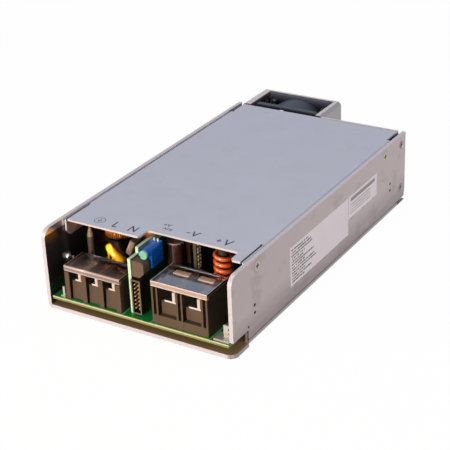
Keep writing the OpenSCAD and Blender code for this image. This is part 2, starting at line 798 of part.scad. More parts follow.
ac_face_top = block_front + 2.2;
ac_face_foot = block_front + 1.6;
ac_clamp_rear = block_front + ac_depth - 1.9;
ac_screw_y = ac_clamp_rear - 1.2 - ac_screw_r;
ac_tab_h = ac_h - ac_ledge_h - 1.8;
ac_back_h = ac_h - ear_r - lid_t - barrel_clear - lid_gap - ac_ledge_h;
dc_face = block_front + 2.6;
dc_clamp_rear = dc_hinge_y - lid_t - barrel_clear - 0.2;
dc_screw_y = dc_clamp_rear - clamp_t - 0.2 - dc_screw_r;
dc_tab_h = dc_h - dc_ledge_h - 2;
dc_back_h = dc_h - dc_ledge_h - 0.4;

module ac_block() {
    rear = block_front + ac_depth;
    color([0.20, 0.17, 0.16]) from_front() difference() {
        union() {
            barriers(ac_x0, ac_poles, ac_pitch, ac_wall, ac_depth, ac_h);
            side_plate(ac_x0 + ac_wall / 2, ac_w - ac_wall) polygon([
                [ac_face_foot, board_top], [ac_face_top, ac_ledge], [rear - 0.5, ac_ledge], [rear - 0.5, board_top]]);
        }
        screw_bores(ac_x0, ac_poles, ac_pitch, ac_wall, ac_ledge, ac_screw_y);
    }
}

module ac_clamps() {
    color([0.85, 0.83, 0.80]) from_front() clamps(ac_x0, ac_poles, ac_pitch, ac_wall,
        ac_face_top, ac_clamp_rear, ac_ledge, ac_tab_h, ac_back_h, ac_screw_y, clamp_t);
}

module ac_screws() {
    color([0.80, 0.78, 0.74]) from_front()
        terminal_screws(ac_x0, ac_poles, ac_pitch, ac_wall, ac_ledge, ac_screw_r, ac_screw_y);
}

module ac_lid() {
    color([0.62, 0.58, 0.60, 0.6]) from_front() terminal_lid(ac_x0, ac_poles, ac_pitch, ac_wall, ac_depth, ac_h);
}

module dc_block() {
    rear = block_front + dc_depth;
    color([0.20, 0.17, 0.16]) from_front() difference() {
        union() {
            barriers(dc_x0, dc_poles, dc_pitch, dc_wall, dc_depth, dc_h);
            translate([dc_x0 + dc_wall / 2, dc_face, board_top])
                cube([dc_w - dc_wall, rear - 0.5 - dc_face, dc_ledge_h]);
            translate([dc_x0 + dc_wall / 2, block_front, board_top])
                cube([dc_w - dc_wall, dc_face - block_front + cut, dc_plinth_h]);
        }
        screw_bores(dc_x0, dc_poles, dc_pitch, dc_wall, dc_ledge, dc_screw_y);
        // Groove down the front of each barrier, above the plinth
        for (i = [0 : dc_poles]) translate([dc_x0 + i * dc_pitch + (dc_wall - groove_w) / 2, block_front - cut,
            board_top + dc_plinth_h]) cube([groove_w, 2.2 + cut, dc_h]);
    }
}

module dc_clamps() {
    color([0.85, 0.83, 0.80]) from_front() clamps(dc_x0, dc_poles, dc_pitch, dc_wall,
        dc_face, dc_clamp_rear, dc_ledge, dc_tab_h, dc_back_h, dc_screw_y, 3);
}

module dc_screws() {
    color([0.80, 0.78, 0.74]) from_front()
        terminal_screws(dc_x0, dc_poles, dc_pitch, dc_wall, dc_ledge, dc_screw_r, dc_screw_y);
}

module dc_lid() {
    color([0.62, 0.58, 0.60, 0.6]) from_front() terminal_lid(dc_x0, dc_poles, dc_pitch, dc_wall, dc_depth, dc_h);
}

// Signal board

module signal_board() {
    y0 = signal_front;
    y1 = signal_front + signal_step_l;
    y2 = signal_front + signal_l;
    color([0.10, 0.40, 0.24]) from_front() side_plate(signal_x, signal_t) polygon([
        [y0, board_top], [y0, signal_low], [y1, signal_low], [y1, signal_top], [y2, signal_top], [y2, board_top]]);
}

module signal_socket() {
    w = socket_wall;
    color([0.07, 0.07, 0.07]) from_front() translate([signal_face, signal_front - 1, socket_z0]) difference() {
        cube([socket_w, socket_l, socket_h]);
        translate([w, -cut, w]) cube([socket_w - 2 * w, socket_l - socket_floor + cut, socket_h - 2 * w]);
    }
}

module signal_pins() {
    z0 = socket_z0 + (socket_h - (pin_rows - 1) * pin_pitch - pin_w) / 2;
    x0 = signal_face + (socket_w - pin_pitch - pin_w) / 2;
    color([0.85, 0.66, 0.28]) from_front() for (i = [0, 1], k = [0 : pin_rows - 1])
        translate([x0 + i * pin_pitch, signal_front - 0.4, z0 + k * pin_pitch])
            cube([pin_w, socket_l - socket_floor - 0.6, pin_w]);
}

// Small moulded housing over the socket, with chamfered outer corners
module switch_box() {
    w = switch_w;
    h = switch_top - switch_z0;
    color([0.33, 0.28, 0.27]) from_front() translate([signal_face, 0, switch_z0]) run(switch_y, switch_l)
        polygon([[0, 0], [w - 2.4, 0], [w, 2.4], [w, h - 1.2], [w - 1.2, h], [0, h]]);
}

module trimmer_body() {
    color([0.07, 0.28, 0.66]) from_front() difference() {
        union() {
            translate([trimmer_x0, trimmer_y0, trimmer_z0])
                cube([trimmer_w, trimmer_l, trimmer_axis_z - trimmer_z0]);
            translate([trimmer_axis_x, trimmer_y0, trimmer_axis_z]) rotate([-90, 0, 0])
                cylinder(h = trimmer_l, r = trimmer_r);
            translate([trimmer_axis_x, rotor_y, trimmer_axis_z]) rotate([-90, 0, 0])
                cylinder(h = trimmer_nose + trimmer_l / 2, d = rotor_d);
            translate([trimmer_x0, trimmer_y0 + trimmer_l - trimmer_block, trimmer_z0])
                cube([trimmer_w, trimmer_block, trimmer_axis_z + trimmer_r - trimmer_z0]);
            // Foot against the board
            translate([signal_face, trimmer_y0 + trimmer_foot, trimmer_z0 + trimmer_foot])
                cube([trimmer_stand + trimmer_r, trimmer_l - 2 * trimmer_foot, trimmer_drop - 2 * trimmer_foot]);
        }
        translate([trimmer_axis_x, rotor_y - cut, trimmer_axis_z]) rotate([-90, 0, 0])
            cylinder(h = spindle_l + cut + 0.3, r = spindle_d / 2 + hinge_clear);
    }
}

// Slotted rotor on its spindle
module trimmer_rotor() {
    color([0.62, 0.85, 0.72]) from_front()
        translate([trimmer_axis_x, rotor_y - rotor_gap, trimmer_axis_z]) rotate([90, 0, 0])
        difference() {
            union() {
                cylinder(h = rotor_t, d = rotor_d);
                translate([0, 0, -spindle_l]) cylinder(h = spindle_l + rotor_t / 2, d = spindle_d);
            }
            rotate(35) translate([-rotor_d, -0.35, rotor_t - 0.6]) cube([2 * rotor_d, 0.7, cut]);
        }
}

module trimmer_pins() {
    color([0.86, 0.80, 0.66]) from_front() for (i = [0, 1])
        translate([trimmer_axis_x - 1 + 2 * i, trimmer_y0 + trimmer_l - trimmer_block / 2, trimmer_axis_z + trimmer_r])
            cylinder(h = 1.2, r = 0.4);
}

// Mains filter parts

module choke_core() {
    gap = choke_wire / 2 + choke_core_gap;
    color([0.12, 0.11, 0.10]) from_front() translate([choke_x, choke_y, 0]) rotate_extrude()
        translate([choke_in_r + choke_wire / 2 + gap, choke_z0 + choke_wire / 2 + gap])
            round_rect(choke_r - choke_in_r - choke_wire - 2 * gap, choke_top - choke_z0 - choke_wire - 2 * gap, 0.5);
}

// One wire wound round the ring: each turn is a rounded loop in a plane through the ring's axis
module choke_winding() {
    steps = 8;
    mid_r = (choke_r + choke_in_r) / 2;
    mid_z = (choke_top + choke_z0) / 2;
    half_r = (choke_r - choke_in_r - choke_wire) / 2;
    half_z = (choke_top - choke_z0 - choke_wire) / 2;
    corner = [for (k = [0 : steps - 1])
        let (a = 360 * (k + 0.5) / steps)
        [half_r * sign(cos(a)) * pow(abs(cos(a)), 0.35), half_z * sign(sin(a)) * pow(abs(sin(a)), 0.35)]];
    count = choke_turns * steps;
    turn = [for (i = [0 : count - 1]) 20 + 320 * i / count];
    path = [for (i = [0 : count - 1])
        let (c = corner[i % steps], r = mid_r + c[0])
        [choke_x + r * cos(turn[i]), choke_y + r * sin(turn[i]), mid_z + c[1]]];
    across = [for (a = turn) [-sin(a), cos(a), 0]];
    color([0.80, 0.42, 0.16]) from_front() wire(path, across, choke_wire, 6);
}

// Moulded pedestal under the ring, with a locating boss inside it
module choke_base() {
    color([0.06, 0.06, 0.06]) from_front() translate([choke_x, choke_y, board_top]) {
        cylinder(h = choke_z0 - board_top, r = choke_r - 1.2);
        cylinder(h = choke_z0 - board_top + boss_h, r = choke_in_r - 0.6);
    }
}

// Coated disc leaning back on two leads
module surge_disc() {
    color([0.95, 0.62, 0.05]) from_front() {
        translate([disc_x, disc_y, disc_z]) rotate([0, disc_tilt, disc_turn]) rotate_extrude() intersection() {
            translate([-disc_r, -disc_t / 2]) round_rect(2 * disc_r, disc_t, disc_edge);
            translate([0, -disc_t]) square([2 * disc_r, 2 * disc_t]);
        }
        for (x = [-3.4, -1.2]) translate([disc_x + x, disc_y - 1.5, board_top])
            cylinder(h = disc_z - board_top + 1, r = 0.4);
    }
}

module sleeved_fuse() {
    top = head_z - 2.5;
    neck = top - 6;
    color([0.33, 0.29, 0.28]) from_front() translate([fuse_x, fuse_y, 0]) {
        translate([0, 0, board_top]) cylinder(h = neck - board_top, r = fuse_r);
        translate([0, 0, neck]) cylinder(h = 4, r1 = fuse_r, r2 = 0.8);
        translate([0, 0, neck]) cylinder(h = top - neck, r = 0.5);
    }
}

// Small boxed capacitor leaning on two leads
module film_capacitor() {
    color([0.62, 0.52, 0.48]) from_front() {
        translate([film_x, film_y, film_z]) rotate([0, film_lean, 0]) translate([-film_w / 2, -film_l / 2, -film_h / 2])
            linear_extrude(film_h) round_rect(film_w, film_l, 0.8);
        for (y = [-1.8, 1.8]) translate([film_x - 1, film_y + y, board_top]) cylinder(h = film_z - board_top, r = 0.35);
    }
}

// Power parts

// Upright can between the signal board and the rectifier board, with a rolled rim
module control_capacitor() {
    color([0.25, 0.14, 0.12]) from_front() translate([can_x, can_y, board_top]) difference() {
        cylinder(h = can_h, r = can_r);
        translate([0, 0, can_h - 0.5]) cylinder(h = cut, r = can_r - 0.8);
    }
}

module transformer_core() {
    color([0.13, 0.12, 0.12]) from_front() translate([core_x0, core_y, board_top]) difference() {
        cube([core_w, core_l, part_h]);
        translate([core_end, -cut, core_end]) difference() {
            cube([core_w - 2 * core_end, core_l + 2 * cut, part_h - 2 * core_end]);
            translate([(core_w - core_leg) / 2 - core_end, 0, -cut]) cube([core_leg, core_l + 2 * cut, part_h]);
        }
    }
}

// Two taped windings, one on each side of the core's middle leg
module transformer_winding() {
    gap = 0.3;
    w = (core_w - core_leg) / 2 - core_end - 2 * gap;
    color([0.55, 0.32, 0.12]) from_front() for (x = [core_end + gap, (core_w + core_leg) / 2 + gap])
        translate([core_x0 + x, core_y, board_top + core_end]) cube([w, core_l, part_h - 2 * core_end]);
}

module rectifier_board() {
    color([0.20, 0.26, 0.18]) from_front() translate([rect_x, rect_y, board_top])
        cube([signal_t, rect_l, part_h]);
}

// Two columns of solder pads along the rectifier board's front edge
module rectifier_pads() {
    count = floor((part_h - 4) / pad_step);
    color([0.80, 0.76, 0.62]) from_front() for (y = pad_y, i = [0 : count - 1])
        rod_x(rect_x + signal_t, rect_y + y, head_z - 1 - i * pad_step, 0.4, pad_r);
}

module output_choke_core() {
    color([0.09, 0.09, 0.09]) from_front() translate([coil_x, coil_y, board_top]) {
        cylinder(h = rod_foot, r = coil_r + coil_wire / 2);
        cylinder(h = part_h, r = coil_r - coil_wire / 2 - 0.25);
    }
}

// Thick copper helix round the rod; its upper end leaves to the right and turns down to the board
module output_choke_coil() {
    steps = 18;
    count = coil_turns * steps;
    z0 = board_top + rod_foot + coil_lift + coil_wire / 2;
    turn = [for (i = [0 : count]) 90 - 360 * i / steps];
    helix = [for (i = [0 : count])
        [coil_x + coil_r * cos(turn[i]), coil_y + coil_r * sin(turn[i]), z0 + coil_pitch * i / steps]];
    top_z = z0 + coil_pitch * coil_turns;
    bend = 2.6;
    out_x = coil_x + 3;
    out = [for (a = [15 : 25 : 90]) [out_x + bend * sin(a), coil_y + coil_r, top_z - bend * (1 - cos(a))]];
    foot = [[out_x + bend, coil_y + coil_r, board_top + 0.1]];
    across = concat([for (a = turn) [cos(a), sin(a), 0]], [for (p = concat(out, foot)) [0, 1, 0]]);
    color([0.80, 0.30, 0.14]) from_front() wire(concat(helix, out, foot), across, coil_wire, 8);
}

module output_capacitors() {
    color([0.16, 0.18, 0.30]) from_front() for (i = [0 : 2])
        translate([dc_x1 + 1.3, out_cap_y + i * (2 * out_cap_r + out_cap_gap), board_top])
            cylinder(h = out_cap_h, r = out_cap_r);
}

// Row of large capacitors between the heatsink and the right wall
module bulk_capacitors() {
    color([0.14, 0.14, 0.20]) from_front() for (i = [0 : 2])
        translate([inner_x - (i + 1) * bulk_gap - (2 * i + 1) * bulk_r, bulk_y, board_top])
            cylinder(h = part_h - 1, r = bulk_r);
}

// Flat ring choke between the left wall and the transformer
module boost_choke() {
    color([0.62, 0.36, 0.14]) from_front() translate([(core_x0 - inner_x) / 2, core_y + boost_r, board_top])
        rotate_extrude() translate([boost_in_r, 0]) round_rect(boost_r - boost_in_r, boost_h, 3);
}

module heatsink() {
    h = part_h - 2;
    step = (h - 3 - fin_t - 0.3) / (fins - 1);
    color([0.72, 0.73, 0.75]) from_front() translate([sink_x, sink_y, board_top]) {
        cube([sink_t, sink_l, h]);
        for (i = [0 : fins - 1]) translate([sink_t - cut / 2, 0, 3 + step * i]) cube([fin_l + cut / 2, sink_l, fin_t]);
    }
}

module transistors() {
    step = sink_l / 3;
    color([0.10, 0.10, 0.10]) from_front() for (i = [0 : 2])
        translate([sink_x - transistor_t, sink_y + step * (i + 0.125), board_top])
            cube([transistor_t, 0.75 * step, transistor_h]);
}

// Fan: shapes are measured forward from its rear face

module at_fan() {
    from_front() translate([fan_x, fan_rear, fan_z]) rotate([90, 0, 0]) children();
}

module at_fan_holes() {
    for (x = [-1, 1], y = [-1, 1]) translate([x * fan_pitch / 2, y * fan_pitch / 2, 0]) children();
}

fan_flange = 3;
strut_t = 2.5;
boss_r = 3.2;
rotor_z0 = 1.2;
rotor_z1 = fan_depth - strut_t - 0.6;

module fan_frame() {
    color([0.13, 0.13, 0.16]) at_fan() difference() {
        union() {
            difference() {
                union() {
                    for (z = [0, fan_depth - fan_flange]) translate([-fan_size / 2, -fan_size / 2, z])
                        linear_extrude(fan_flange) round_rect(fan_size, fan_size, 3);
                    cylinder(h = fan_depth, r = fan_size / 2 - 0.5);
                }
                translate([0, 0, -cut]) cylinder(h = fan_depth + 2 * cut, d = fan_bore);
            }
            translate([0, 0, fan_depth - strut_t]) cylinder(h = strut_t, d = fan_hub + 0.8);
            for (a = [30 : 90 : 300]) rotate(a) translate([fan_hub / 2 - 1, -1, fan_depth - strut_t + 0.5])
                cube([(fan_bore - fan_hub) / 2 + 1.5, 2, strut_t - 0.5]);
            translate([0, 0, fan_depth / 2 - 2]) cylinder(h = fan_depth / 2 + 2, r = boss_r);
        }
        at_fan_holes() translate([0, 0, -cut]) cylinder(h = fan_depth + 2 * cut, r = 1.75);
        translate([0, 0, fan_depth / 2 - 2 - cut])
            cylinder(h = fan_depth / 2 + 2 - 1 + cut, r = fan_shaft / 2 + shaft_clear);
    }
}

// Cambered blade: an arc of sheet, pitched, run out from the axis and trimmed by the tip circle
module fan_blade() {
    chord = (rotor_z1 - rotor_z0 - 1.6) / sin(50);
    camber_r = 14;
    shift = 2;
    intersection() {
        translate([0, 0, (rotor_z0 + rotor_z1) / 2 + shift]) rotate([0, 90, 0]) linear_extrude(fan_size) rotate(-40)
            translate([camber_r - 1.5, 0]) intersection() {
                difference() {
                    circle(camber_r);
                    circle(camber_r - 1);
                }
                translate([-camber_r - 1, -chord / 2]) square([camber_r, chord]);
            }
        cylinder(h = fan_depth, r = fan_bore / 2 - 0.6);
    }
}

module fan_rotor() {
    cup = 1.3;
    color([0.10, 0.10, 0.12]) at_fan() {
        difference() {
            union() {
                translate([0, 0, rotor_z0]) cylinder(h = rotor_z1 - rotor_z0, d = fan_hub);
                for (i = [0 : fan_blades - 1]) rotate(i * 360 / fan_blades) fan_blade();
            }
            translate([0, 0, rotor_z0 + cup]) cylinder(h = fan_depth, r = fan_hub / 2 - cup);
        }
        translate([0, 0, rotor_z0]) cylinder(h = fan_depth - 1.6 - rotor_z0, d = fan_shaft);
    }
}

module fan_screws() {
    color([0.60, 0.60, 0.60]) at_fan() at_fan_holes() translate([0, 0, -panel_t]) rotate([180, 0, 0])
        pan_screw(2.8, fan_head_h, 1.5, panel_t + 6);
}

// Blank labels let into the right wall, in lengths and heights
label_t = 0.1;
label_rear = case_l - 35;
label_l1 = 59.5;
label_h1 = 20;
label_z1 = 10.7;
label_l2 = 32.4;
label_h2 = 12;
label_z2 = 19;
label_gap = 0.4;

module label_fields() {
    translate([label_rear - label_l2 - label_gap - label_l1, label_z1]) square([label_l1, label_h1]);
    translate([label_rear - label_l2, label_z2]) square([label_l2, label_h2]);
}

module side_labels() {
    color([0.80, 0.78, 0.79]) from_front() side_plate(half_w - label_t, label_t) label_fields();
}

chassis();
top_cover();
rear_panel();
cover_screws();
rear_screws();
earth_stud();
board_standoffs();
board_screws();
main_board();
earth_bracket();
front_post();
ac_block();
ac_clamps();
ac_screws();
ac_lid();
dc_block();
dc_clamps();
dc_screws();
dc_lid();
signal_board();
signal_socket();
signal_pins();
switch_box();
trimmer_body();
trimmer_rotor();
trimmer_pins();
choke_core();
choke_winding();
choke_base();
surge_disc();
sleeved_fuse();
film_capacitor();
control_capacitor();
transformer_core();
transformer_winding();
rectifier_board();
rectifier_pads();
output_choke_core();
output_choke_coil();
output_capacitors();
bulk_capacitors();
boost_choke();
heatsink();
transistors();
fan_frame();
fan_rotor();
fan_screws();
side_labels();
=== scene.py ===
# %% [markdown]
# # Dressing a power supply
# The case, the boards and everything fixed to them come from the CAD model, which is loaded here as a
# fixed frame in metres. They could be modelled again in Blender, but then the two models would drift
# apart, so this lesson leaves the solids where they are. It gives each one a finish, puts two windings of
# smooth wire in place of plainer solids, adds small lugs at the terminals and ink marks on the cover, and
# lights the result and sets a camera on it.

# %% Load the frame
import math

import bpy
from mathutils import Matrix, Vector


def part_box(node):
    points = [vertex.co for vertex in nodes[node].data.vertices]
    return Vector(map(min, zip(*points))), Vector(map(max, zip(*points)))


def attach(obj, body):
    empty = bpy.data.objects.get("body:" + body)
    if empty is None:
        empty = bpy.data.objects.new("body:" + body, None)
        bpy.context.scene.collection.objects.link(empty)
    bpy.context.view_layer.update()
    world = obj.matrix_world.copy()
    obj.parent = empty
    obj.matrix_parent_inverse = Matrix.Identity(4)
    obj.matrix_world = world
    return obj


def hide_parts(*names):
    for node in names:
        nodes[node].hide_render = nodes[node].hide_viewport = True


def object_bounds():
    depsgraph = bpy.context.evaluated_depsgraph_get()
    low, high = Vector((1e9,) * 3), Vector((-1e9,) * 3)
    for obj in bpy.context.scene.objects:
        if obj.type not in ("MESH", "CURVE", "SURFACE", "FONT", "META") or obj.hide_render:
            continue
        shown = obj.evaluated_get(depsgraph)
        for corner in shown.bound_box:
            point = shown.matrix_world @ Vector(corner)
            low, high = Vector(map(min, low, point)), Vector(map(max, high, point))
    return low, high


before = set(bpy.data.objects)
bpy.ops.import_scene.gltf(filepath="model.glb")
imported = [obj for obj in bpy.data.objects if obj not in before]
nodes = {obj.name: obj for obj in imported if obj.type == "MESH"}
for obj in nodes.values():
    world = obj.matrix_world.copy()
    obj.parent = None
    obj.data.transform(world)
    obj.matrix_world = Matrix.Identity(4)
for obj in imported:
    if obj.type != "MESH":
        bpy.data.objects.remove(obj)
cad_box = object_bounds()
bpy.ops.object.select_all(action="DESELECT")
print("nodes:", len(nodes), "box:", [round(v, 4) for c in cad_box for v in c])

# %% [markdown]
# ## Measures
# Drawings of such a supply are measured in millimetres back from the front lip of its case, while the
# frame is in metres. Converting each number by hand invites slips, so one helper turns a measured place
# into the frame's own, and another reads the corners of a solid in millimetres. The front lip is the
# lowest Y of all.

# %% Measures
MM = 0.001
FRONT = cad_box[0].y
CASE_TOP = cad_box[1].z / MM
COVER_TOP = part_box("top_cover")[1].z / MM
BOARD_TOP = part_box("main_board")[1].z / MM


def at(x, y, z):
    """A place in the frame, from millimetres to the right, back from the front lip, and up."""
    return Vector((x * MM, FRONT + y * MM, z * MM))


def reach(node):
    """Lowest and highest corners of a node, in millimetres, back from the front lip."""
    return [[c.x / MM, (c.y - FRONT) / MM, c.z / MM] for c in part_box(node)]


print("front lip:", round(FRONT, 4), "cover top:", round(COVER_TOP, 2), "board top:", round(BOARD_TOP, 2))

# %% [markdown]
# ## Shader maths
# A finish is a graph of nodes. Made node by node, it hides its own idea, so one small class lets a socket
# take part in ordinary sums, and a mask then reads like the sentence it stands for: & is "and", | is "or".
# Every other node comes from a single method of the graph.


# %% A socket that can be summed
class Wire:
    """One output of a graph's nodes, for use in sums."""

    def __init__(self, graph, socket):
        self.graph = graph
        self.socket = socket

    def sum(self, operation, a, b=0.0):
        return self.graph.node("ShaderNodeMath", {"operation": operation}, {0: a, 1: b})

    def __add__(self, other):
        return self.sum("ADD", self, other)

    def __radd__(self, other):
        return self.sum("ADD", other, self)

    def __sub__(self, other):
        return self.sum("SUBTRACT", self, other)

    def __rsub__(self, other):
        return self.sum("SUBTRACT", other, self)

    def __mul__(self, other):
        return self.sum("MULTIPLY", self, other)

    def __rmul__(self, other):
        return self.sum("MULTIPLY", other, self)

    def __mod__(self, other):
        return self.sum("FLOORED_MODULO", self, other)

    def __gt__(self, other):
        return self.sum("GREATER_THAN", self, other)

    def __lt__(self, other):
        return self.sum("LESS_THAN", self, other)

    def __and__(self, other):
        return self.sum("MINIMUM", self, other)

    def __or__(self, other):
        return self.sum("MAXIMUM", self, other)

    def __abs__(self):
        return self.sum("ABSOLUTE", self)


print("sockets can be summed")

# %% A graph of nodes
MIX_SHARE, MIX_A, MIX_B, MIX_RESULT = 0, 6, 7, 2  # sockets of a Mix node that blends colours


class Graph:
    """A tree of shader nodes, all of them made by one method."""

    def __init__(self, tree):
        self.tree = tree
        tree.nodes.clear()

    def feed(self, socket, value):
        """Links a wire to a socket, or sets a plain value on it."""
        if isinstance(value, Wire):
            self.tree.links.new(value.socket, socket)
        else:
            socket.default_value = value

    def node(self, kind, settings=None, sockets=None, out=0):
        """Makes a node and gives one of its outputs, or the node itself where it has none."""
        made = self.tree.nodes.new(kind)
        for name, value in (settings or {}).items():
            setattr(made, name, value)
        for name, value in (sockets or {}).items():
            self.feed(made.inputs[name], value)
        return Wire(self, made.outputs[out]) if len(made.outputs) else made

    def mix(self, share, a, b):
        """Colour a where share is 0, and colour b where it is 1."""
        sockets = {MIX_SHARE: share, MIX_A: a, MIX_B: b}
        return self.node("ShaderNodeMix", {"data_type": "RGBA"}, sockets, MIX_RESULT)

    def rays(self, *kinds):
        """1 for the named kinds of light path, otherwise 0."""
        shares = [self.node("ShaderNodeLightPath", out=kind) for kind in kinds]
        either = shares[0]
        for share in shares[1:]:
            either = either | share
        return either


print("graphs can be made")

# %% A finish
SRGB_KNEE = 0.04045


def srgb(*seen):
    """A colour as seen on screen, 0 to 255, as the linear colour that a shader takes."""
    shares = [v / 255 for v in seen]
    linear = [s / 12.92 if s < SRGB_KNEE else ((s + 0.055) / 1.055) ** 2.4 for s in shares]
    return (*linear, 1.0)


class Finish(Graph):
    """A material with one Principled shader, whose constant values are given by socket name."""

    def __init__(self, name, colour, roughness=0.5, metallic=0.0, **constants):
        self.material = bpy.data.materials.new(name)
        self.material.use_nodes = True
        super().__init__(self.material.node_tree)
        self.shown = self.node("ShaderNodeBsdfPrincipled")
        self.shader = self.shown.socket.node
        self.output = self.node("ShaderNodeOutputMaterial", {}, {"Surface": self.shown})
        self.colour = srgb(*colour)
        self.set("Base Color", self.colour)
        self.set("Roughness", roughness)
        self.set("Metallic", metallic)
        for socket, value in constants.items():
            self.set(socket.replace("_", " ").title().replace("Ior", "IOR"), value)

    def set(self, socket, value):
        self.feed(self.shader.inputs[socket], value)

    def place(self, stretch=(1, 1, 1)):
        """Object coordinates in millimetres, back from the front lip, stretched if wanted."""
        here = self.node("ShaderNodeTexCoord", out="Object")
        back = self.node("ShaderNodeVectorMath", {"operation": "SUBTRACT"}, {0: here, 1: (0, FRONT, 0)})
        return self.node("ShaderNodeMapping", {}, {"Vector": back, "Scale": [s / MM for s in stretch]})

    def axes(self):
        """The three coordinates of a place, each for use in sums."""
        where = self.place()
        return [self.node("ShaderNodeSeparateXYZ", {}, {0: where}, axis) for axis in "XYZ"]

    def noise(self, scale, detail=3.0, stretch=(1, 1, 1)):
        """Cloudy noise, 0 to 1, with about scale lumps to the millimetre."""
        sockets = {"Vector": self.place(stretch), "Scale": scale, "Detail": detail}
        return self.node("ShaderNodeTexNoise", {}, sockets)

    def paint(self, share, colour):
        """Lays a colour over the finish where share is 1."""
        self.colour = self.mix(share, self.colour, srgb(*colour))
        self.set("Base Color", self.colour)
        return self

    def cloud(self, amount, scale, stretch=(1, 1, 1)):
        """Lightens and darkens the colour a little in soft lumps."""
        value = 1 + (self.noise(scale, 4.0, stretch) - 0.5) * (2 * amount)
        self.colour = self.node("ShaderNodeHueSaturation", {}, {"Color": self.colour, "Value": value})
        self.set("Base Color", self.colour)
        return self

    def gloss(self, rough, amount, scale):
        """Roughness that wanders about a middle value."""
        self.set("Roughness", rough + (self.noise(scale) - 0.5) * (2 * amount))
        return self

    def bump(self, height, depth):
        """Raises the surface by height times depth, in millimetres."""
        sockets = {"Height": height, "Distance": depth * MM, "Strength": 1.0}
        self.set("Normal", self.node("ShaderNodeBump", {}, sockets))
        return self

    def over(self, share, shader):
        """Mixes another shader over all that the finish shows so far."""
        self.shown = self.node("ShaderNodeMixShader", {}, {0: share, 1: self.shown, 2: shader})
        self.feed(self.output.inputs["Surface"], self.shown)
        return self

    def on(self, *names):
        """Gives the finish to CAD nodes by name."""
        for name in names:
            nodes[name].material_slots[0].material = self.material
        return self


print("finishes can be made")

# %% [markdown]
# ## Camera
# The photograph was taken from the front right, a little above, with a long lens. A camera can be set by
# eye, but edges that should run along the picture's edges then never quite do. Fitting the case's edges to
# the picture gave the place and aim below. The aim is kept as directions, from which a turn is made.

# %% Camera
LENS = 103.17
SENSOR = 36
FARTHEST = 20
EYE = at(302.63, -401.99, 302.13)
RIGHT = Vector((0.855478, 0.516355, -0.039184))
AHEAD = Vector((-0.477478, 0.757251, -0.445629))
UP = RIGHT.cross(AHEAD)
camera_data = bpy.data.cameras.new("camera")
camera_data.lens = LENS
camera_data.sensor_width = SENSOR
camera_data.clip_end = FARTHEST
camera = bpy.data.objects.new("camera", camera_data)
bpy.context.scene.collection.objects.link(camera)
camera.matrix_world = Matrix.Translation(EYE) @ Matrix((RIGHT, UP, -AHEAD)).transposed().to_4x4()
bpy.context.scene.camera = camera
print("camera", round((EYE - at(0, 100, 20)).length, 3), "m from the case")

# %% [markdown]
# ## Floor and light
# The supply was photographed on white. More light would make the floor white and bleach the metal with it,
# so the floor glows white to the camera and to reflections only, and takes a part of its shade from the
# lamps, which is what makes the case stand on something. The world is white to the camera, a little blue
# in reflections, and dim as a lamp, so that the inside of the case stays dark.

# %% Floor
WHITE = (1, 1, 1, 1)
SEEN = ("Is Camera Ray", "Is Glossy Ray", "Is Transmission Ray")
FLOOR_SIZE = 12
FLOOR_BACK = 2
GLOW = 1.1
GLOW_SHARE = 0.88
bpy.ops.mesh.primitive_plane_add(size=FLOOR_SIZE, location=(0, FLOOR_BACK, 0))
floor = bpy.context.active_object
floor.name = "floor"
white = Finish("white_floor", (150, 150, 150), 0.9)
white.cloud(0.01, 0.01)
glow = white.node("ShaderNodeEmission", {}, {"Color": WHITE, "Strength": GLOW})
white.over(white.rays(*SEEN) * GLOW_SHARE, glow)
floor.data.materials.append(white.material)
print("floor", floor.dimensions[:2])

# %% World
AMBIENT = 0.08
REFLECTED = (0.8, 0.87, 1, 1)
world = bpy.data.worlds.new("studio")
bpy.context.scene.world = world
world.use_nodes = True
sky = Graph(world.node_tree)
tint = sky.mix(sky.rays("Is Camera Ray"), REFLECTED, WHITE)
level = sky.node("ShaderNodeMapRange", {}, {"Value": sky.rays(*SEEN), "To Min": AMBIENT, "To Max": 1.0})
studio = sky.node("ShaderNodeBackground", {}, {"Color": tint, "Strength": level})
sky.node("ShaderNodeOutputWorld", {}, {"Surface": studio})
bpy.context.scene.view_settings.view_transform = "Standard"
print("world lights the case at", AMBIENT)

# %% [markdown]
# The main lamp is warm and stands straight in front, because only light from there reaches into the open
# end of the case. A second warm one stands at the front left, a large soft one above and a weaker one at
# the right. A single bright lamp would also light the inside, with hard shadows. A thin beam lifts the
# yellow disc behind the lid.

# %% Lamps
WARM = (1.0, 0.88, 0.76)
COOL = (0.96, 0.97, 1.0)
ROSE = (1.0, 0.95, 0.96)
MIDDLE = at(0, 60, 20)
DISC = at(-27.5, 24, 27.5)
BEAM_SPREAD = 1.4


def softbox(name, place, target, width, watts, colour):
    """A square lamp at a place, looking at the target."""
    data = bpy.data.lights.new(name, "AREA")
    data.size = width
    data.energy = watts
    data.color = colour
    lamp = bpy.data.objects.new(name, data)
    bpy.context.scene.collection.objects.link(lamp)
    aim = (target - place).to_track_quat("-Z", "Y")
    lamp.matrix_world = Matrix.Translation(place) @ aim.to_matrix().to_4x4()
    return lamp


softbox("top_light", at(-150, 250, 900), MIDDLE, width=0.8, watts=3.0, colour=COOL)
softbox("left_light", at(-660, -640, 330), MIDDLE, width=0.3, watts=2.6, colour=WARM)
softbox("front_light", at(-20, -900, 150), MIDDLE, width=0.25, watts=11.0, colour=WARM)
beam = softbox("inside_light", at(-70, -380, 58), DISC, width=0.005, watts=0.01, colour=WARM)
beam.data.spread = math.radians(BEAM_SPREAD)
softbox("right_light", at(800, 80, 90), MIDDLE, width=0.5, watts=4.0, colour=ROSE)
